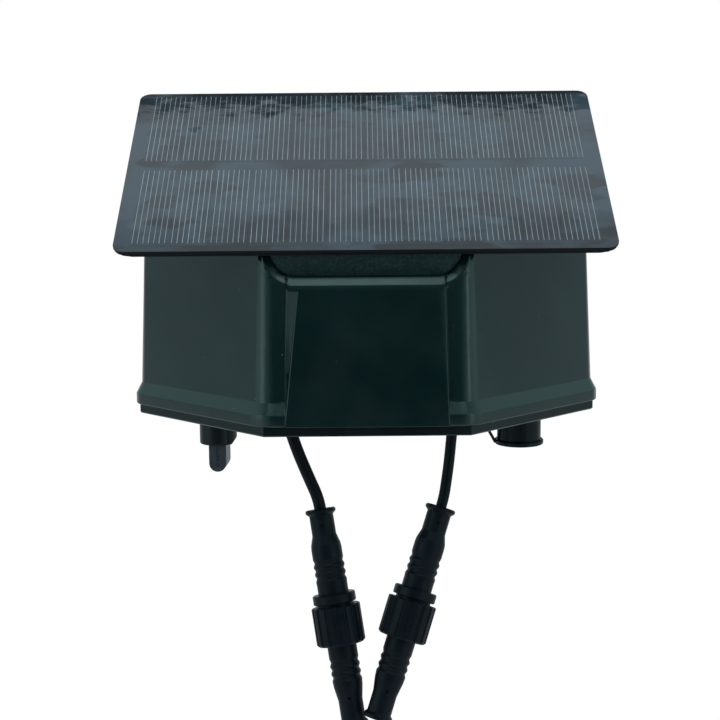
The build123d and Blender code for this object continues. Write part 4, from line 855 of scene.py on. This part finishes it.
# Millimetres, as above.
EDGE_STEPS = 12
EDGE_FOOT_Z = FOOT_Z + 1.2
EDGE_TOP_Z = BOSS_TOP_Z - 0.4
EDGE_PROUD = 0.012
EDGE_ROUND = 0.25
EDGE_FLAT = 0.07
EDGE_LAP = 0.4
EDGE_INSET = 0.6
EDGE_BACK = 0.5
FOOT_MARGIN = 0.2
EDGE_CREASE = math.radians(50)


def edge_of_boss():
    """Squares the boss's right flank, which stands nearly upright there."""
    rings = []
    for step in range(EDGE_STEPS + 1):
        z = EDGE_FOOT_Z + (EDGE_TOP_Z - EDGE_FOOT_Z) * step / EDGE_STEPS
        foot, top = boss_edges(z, FILLED_LINES)
        inner = boss_edges(z, BOSS_LINES)[1] - EDGE_LAP
        wall = wall_front(foot + FOOT_MARGIN, z)
        section = [
            (inner, BOSS_Y - EDGE_PROUD), (top - EDGE_ROUND, BOSS_Y - EDGE_PROUD),
            (top - EDGE_FLAT, BOSS_Y + EDGE_FLAT), (top, BOSS_Y + EDGE_ROUND),
            (foot, wall), (foot - EDGE_INSET, wall + EDGE_BACK), (inner, wall + EDGE_BACK),
        ]
        rings.append([Vector((x, y, z)) * MM for x, y in section])
    add_piece("boss_edge", skin_over("boss_edge", rings, EDGE_CREASE), "housing_green", "housing")


edge_of_boss()


# ---------------------------------------------------------------- black strip under the panel's tray, painted shade

SHADE_STRIP_DEEP = 1.0 * MM
SHADE_STRIP_THICK = 1.4 * MM
SHADE_STRIP_ROUND = 0.25 * MM
SHADE_STRIP_RAMP = 4.0 * MM
SHADE_STRIP_THIN = 0.1
SHADE_STRIP_AHEAD = 0.15 * MM
SHADE_STRIP_LAP = 0.02 * MM


def shade_strip_of_tray():
    """A black strip under the tray's front edge, a little further down than its floor: a dark
    sheet that stands in for the shade under the panel's front.
    """
    low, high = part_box("panel_tray")
    corner = min((v.co for v in frame["nodes"]["panel_tray"].data.vertices), key=lambda co: co.z)
    start = Vector((0, corner.y, corner.z)) - PANEL_UP * SHADE_STRIP_AHEAD + PANEL_OUT * SHADE_STRIP_LAP
    section = [
        (0, 0), (SHADE_STRIP_THICK, 0), (SHADE_STRIP_THICK, SHADE_STRIP_ROUND - SHADE_STRIP_DEEP),
        (SHADE_STRIP_THICK - SHADE_STRIP_ROUND, -SHADE_STRIP_DEEP), (SHADE_STRIP_ROUND, -SHADE_STRIP_DEEP), (0, SHADE_STRIP_ROUND - SHADE_STRIP_DEEP),
    ]
    rings = []
    for x, share in (
        (low.x + SHADE_STRIP_RAMP, SHADE_STRIP_THIN), (low.x + 2 * SHADE_STRIP_RAMP, 1),
        (high.x - 2 * SHADE_STRIP_RAMP, 1), (high.x - SHADE_STRIP_RAMP, SHADE_STRIP_THIN),
    ):
        at_end = start + Vector((x, 0, 0))
        rings.append([at_end + PANEL_UP * up + PANEL_OUT * out * share for up, out in section])
    add_piece("tray_shade_strip", skin_over("tray_shade_strip", rings), "panel_black", "housing")


shade_strip_of_tray()


# ---------------------------------------------------------------- cells pressed under their film

FILM_STEP = 0.04 * MM


def pressed_cells():
    """The cells with their edges pressed almost flush, as the film holds them."""
    shape = merged_copy("solar_cells")
    floor = min(vertex.co.dot(PANEL_OUT) for vertex in shape.verts)
    for vertex in shape.verts:
        above = vertex.co.dot(PANEL_OUT) - floor
        vertex.co -= PANEL_OUT * max(0, above - FILM_STEP)
    mesh = frame["nodes"]["solar_cells"].data.copy()
    shape.to_mesh(mesh)
    shape.free()
    add_piece("pressed_cells", mesh, "cell_blue", "housing", instead_of="solar_cells")


pressed_cells()


# ---------------------------------------------------------------- strap of the port's cap

# Millimetres: the path is from the port's axis at the underside of the base.
PORT_X = 70.7
PORT_Y = -43.5
BASE_Z = -105.0
STRAP_HALF = 2.5
STRAP_THICK = 1.3
STRAP_PATH = (
    (-20.0, -0.66), (-19.2, -0.66), (-18.4, -0.70), (-17.7, -1.05), (-17.1, -1.75),
    (-16.5, -2.80), (-15.7, -4.30), (-14.9, -5.80), (-14.1, -7.30), (-13.3, -8.80),
    (-12.5, -10.20), (-11.8, -11.50), (-11.2, -12.60),
)
# Shares of the half width and the half thickness, round one face of the strap.
STRAP_FACE = ((1, 0.72), (0.88, 1), (-0.88, 1), (-1, 0.72))
STRAP_CREASE = math.radians(30)


def strap_of_cap():
    """The strap from its seat under the base to the cap's rim."""
    path = [Vector((x, z)) for x, z in STRAP_PATH]
    section = [*STRAP_FACE, *((across, -share) for across, share in reversed(STRAP_FACE))]
    rings = []
    for index, spot in enumerate(path):
        ahead = path[min(index + 1, len(path) - 1)] - path[max(index - 1, 0)]
        side = Vector((-ahead.y, ahead.x)).normalized() * STRAP_THICK / 2
        rings.append([
            Vector((
                PORT_X + spot.x + side.x * share,
                PORT_Y + STRAP_HALF * across,
                BASE_Z + spot.y + side.y * share,
            )) * MM
            for across, share in section
        ])
    mesh = skin_over("cap_strap", rings, STRAP_CREASE)
    piece = add_piece("cap_strap", mesh, "tether_rubber", instead_of="cap_tether")
    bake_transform(piece)


strap_of_cap()


# ---------------------------------------------------------------- printed fingers

CELLS_ACROSS = 12
CELL_PITCH = 16.67 * MM
FINGERS_PER_CELL = 7
FINGER_PITCH = 2.29 * MM
FINGER_WIDTH = 0.2 * MM
FINGER_THICK = 0.02 * MM
FINGER_MARGIN = 0.2 * MM
ROWS = 2
ROW_PITCH = 58.6 * MM
ROWS_UP = 1.3 * MM
CELL_LENGTH = 51.6 * MM
CELL_THICK = 0.2 * MM


def finger_tree():
    """Node tree: fingers in every cell of both rows, laid on the panel's slope."""
    tree = bpy.data.node_groups.new("printed_fingers", "GeometryNodeTree")
    inputs = (
        ("Cell Pitch", CELL_PITCH),
        ("Finger Pitch", FINGER_PITCH),
        ("Finger Width", FINGER_WIDTH),
        ("Finger Length", CELL_LENGTH - 2 * FINGER_MARGIN),
        ("Row Pitch", ROW_PITCH),
    )
    tree.interface.new_socket("Geometry", in_out="OUTPUT", socket_type="NodeSocketGeometry")
    for name, value in inputs:
        socket = tree.interface.new_socket(name, in_out="INPUT", socket_type="NodeSocketFloat")
        socket.default_value = value
    nodes, links = tree.nodes, tree.links
    given = nodes.new("NodeGroupInput").outputs

    def row_of(count, pitch, axis):
        """Points at a pitch along an axis, centred."""
        line = nodes.new("GeometryNodeMeshLine")
        line.inputs["Count"].default_value = count
        first = maths(tree, "MULTIPLY", pitch, -(count - 1) / 2)
        for distance, socket in ((first, "Start Location"), (pitch, "Offset")):
            vector = nodes.new("ShaderNodeCombineXYZ")
            links.new(distance, vector.inputs[axis])
            links.new(vector.outputs[0], line.inputs[socket])
        return line.outputs["Mesh"]

    def repeat(points, thing):
        """The thing at each of the points."""
        node = nodes.new("GeometryNodeInstanceOnPoints")
        links.new(points, node.inputs["Points"])
        links.new(thing, node.inputs["Instance"])
        return node.outputs["Instances"]

    finger = nodes.new("GeometryNodeMeshCube")
    size = nodes.new("ShaderNodeCombineXYZ")
    links.new(given["Finger Width"], size.inputs["X"])
    links.new(given["Finger Length"], size.inputs["Y"])
    size.inputs["Z"].default_value = FINGER_THICK
    links.new(size.outputs[0], finger.inputs["Size"])
    cell = repeat(row_of(FINGERS_PER_CELL, given["Finger Pitch"], "X"), finger.outputs["Mesh"])
    row = repeat(row_of(CELLS_ACROSS, given["Cell Pitch"], "X"), cell)
    rows = repeat(row_of(ROWS, given["Row Pitch"], "Y"), row)
    lay = nodes.new("GeometryNodeTransform")
    links.new(rows, lay.inputs["Geometry"])
    low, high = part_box("solar_cells")
    middle = Vector((0, (low.y + high.y) / 2, (low.z + high.z) / 2))
    lift = FILM_STEP - CELL_THICK / 2 + FINGER_THICK / 2
    lay.inputs["Translation"].default_value = middle + lift * PANEL_OUT + ROWS_UP * PANEL_UP
    lay.inputs["Rotation"].default_value = (PANEL_SLOPE, 0, 0)
    real = nodes.new("GeometryNodeRealizeInstances")
    links.new(lay.outputs["Geometry"], real.inputs["Geometry"])
    paint = nodes.new("GeometryNodeSetMaterial")
    paint.inputs["Material"].default_value = FINISHES["finger_silver"]
    links.new(real.outputs["Geometry"], paint.inputs["Geometry"])
    links.new(paint.outputs["Geometry"], nodes.new("NodeGroupOutput").inputs["Geometry"])
    return tree


def grow(name, tree, body):
    """Runs a node tree once and keeps its result as a plain piece that rides on a body."""
    seed = link(bpy.data.objects.new(name + "_seed", bpy.data.meshes.new(name + "_seed")))
    seed.modifiers.new(name, "NODES").node_group = tree
    depsgraph = bpy.context.evaluated_depsgraph_get()
    mesh = bpy.data.meshes.new_from_object(seed.evaluated_get(depsgraph))
    mesh.name = name
    bpy.data.objects.remove(seed)
    piece = link(bpy.data.objects.new(name, mesh))
    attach(piece, body)


grow("cell_fingers", finger_tree(), "housing")
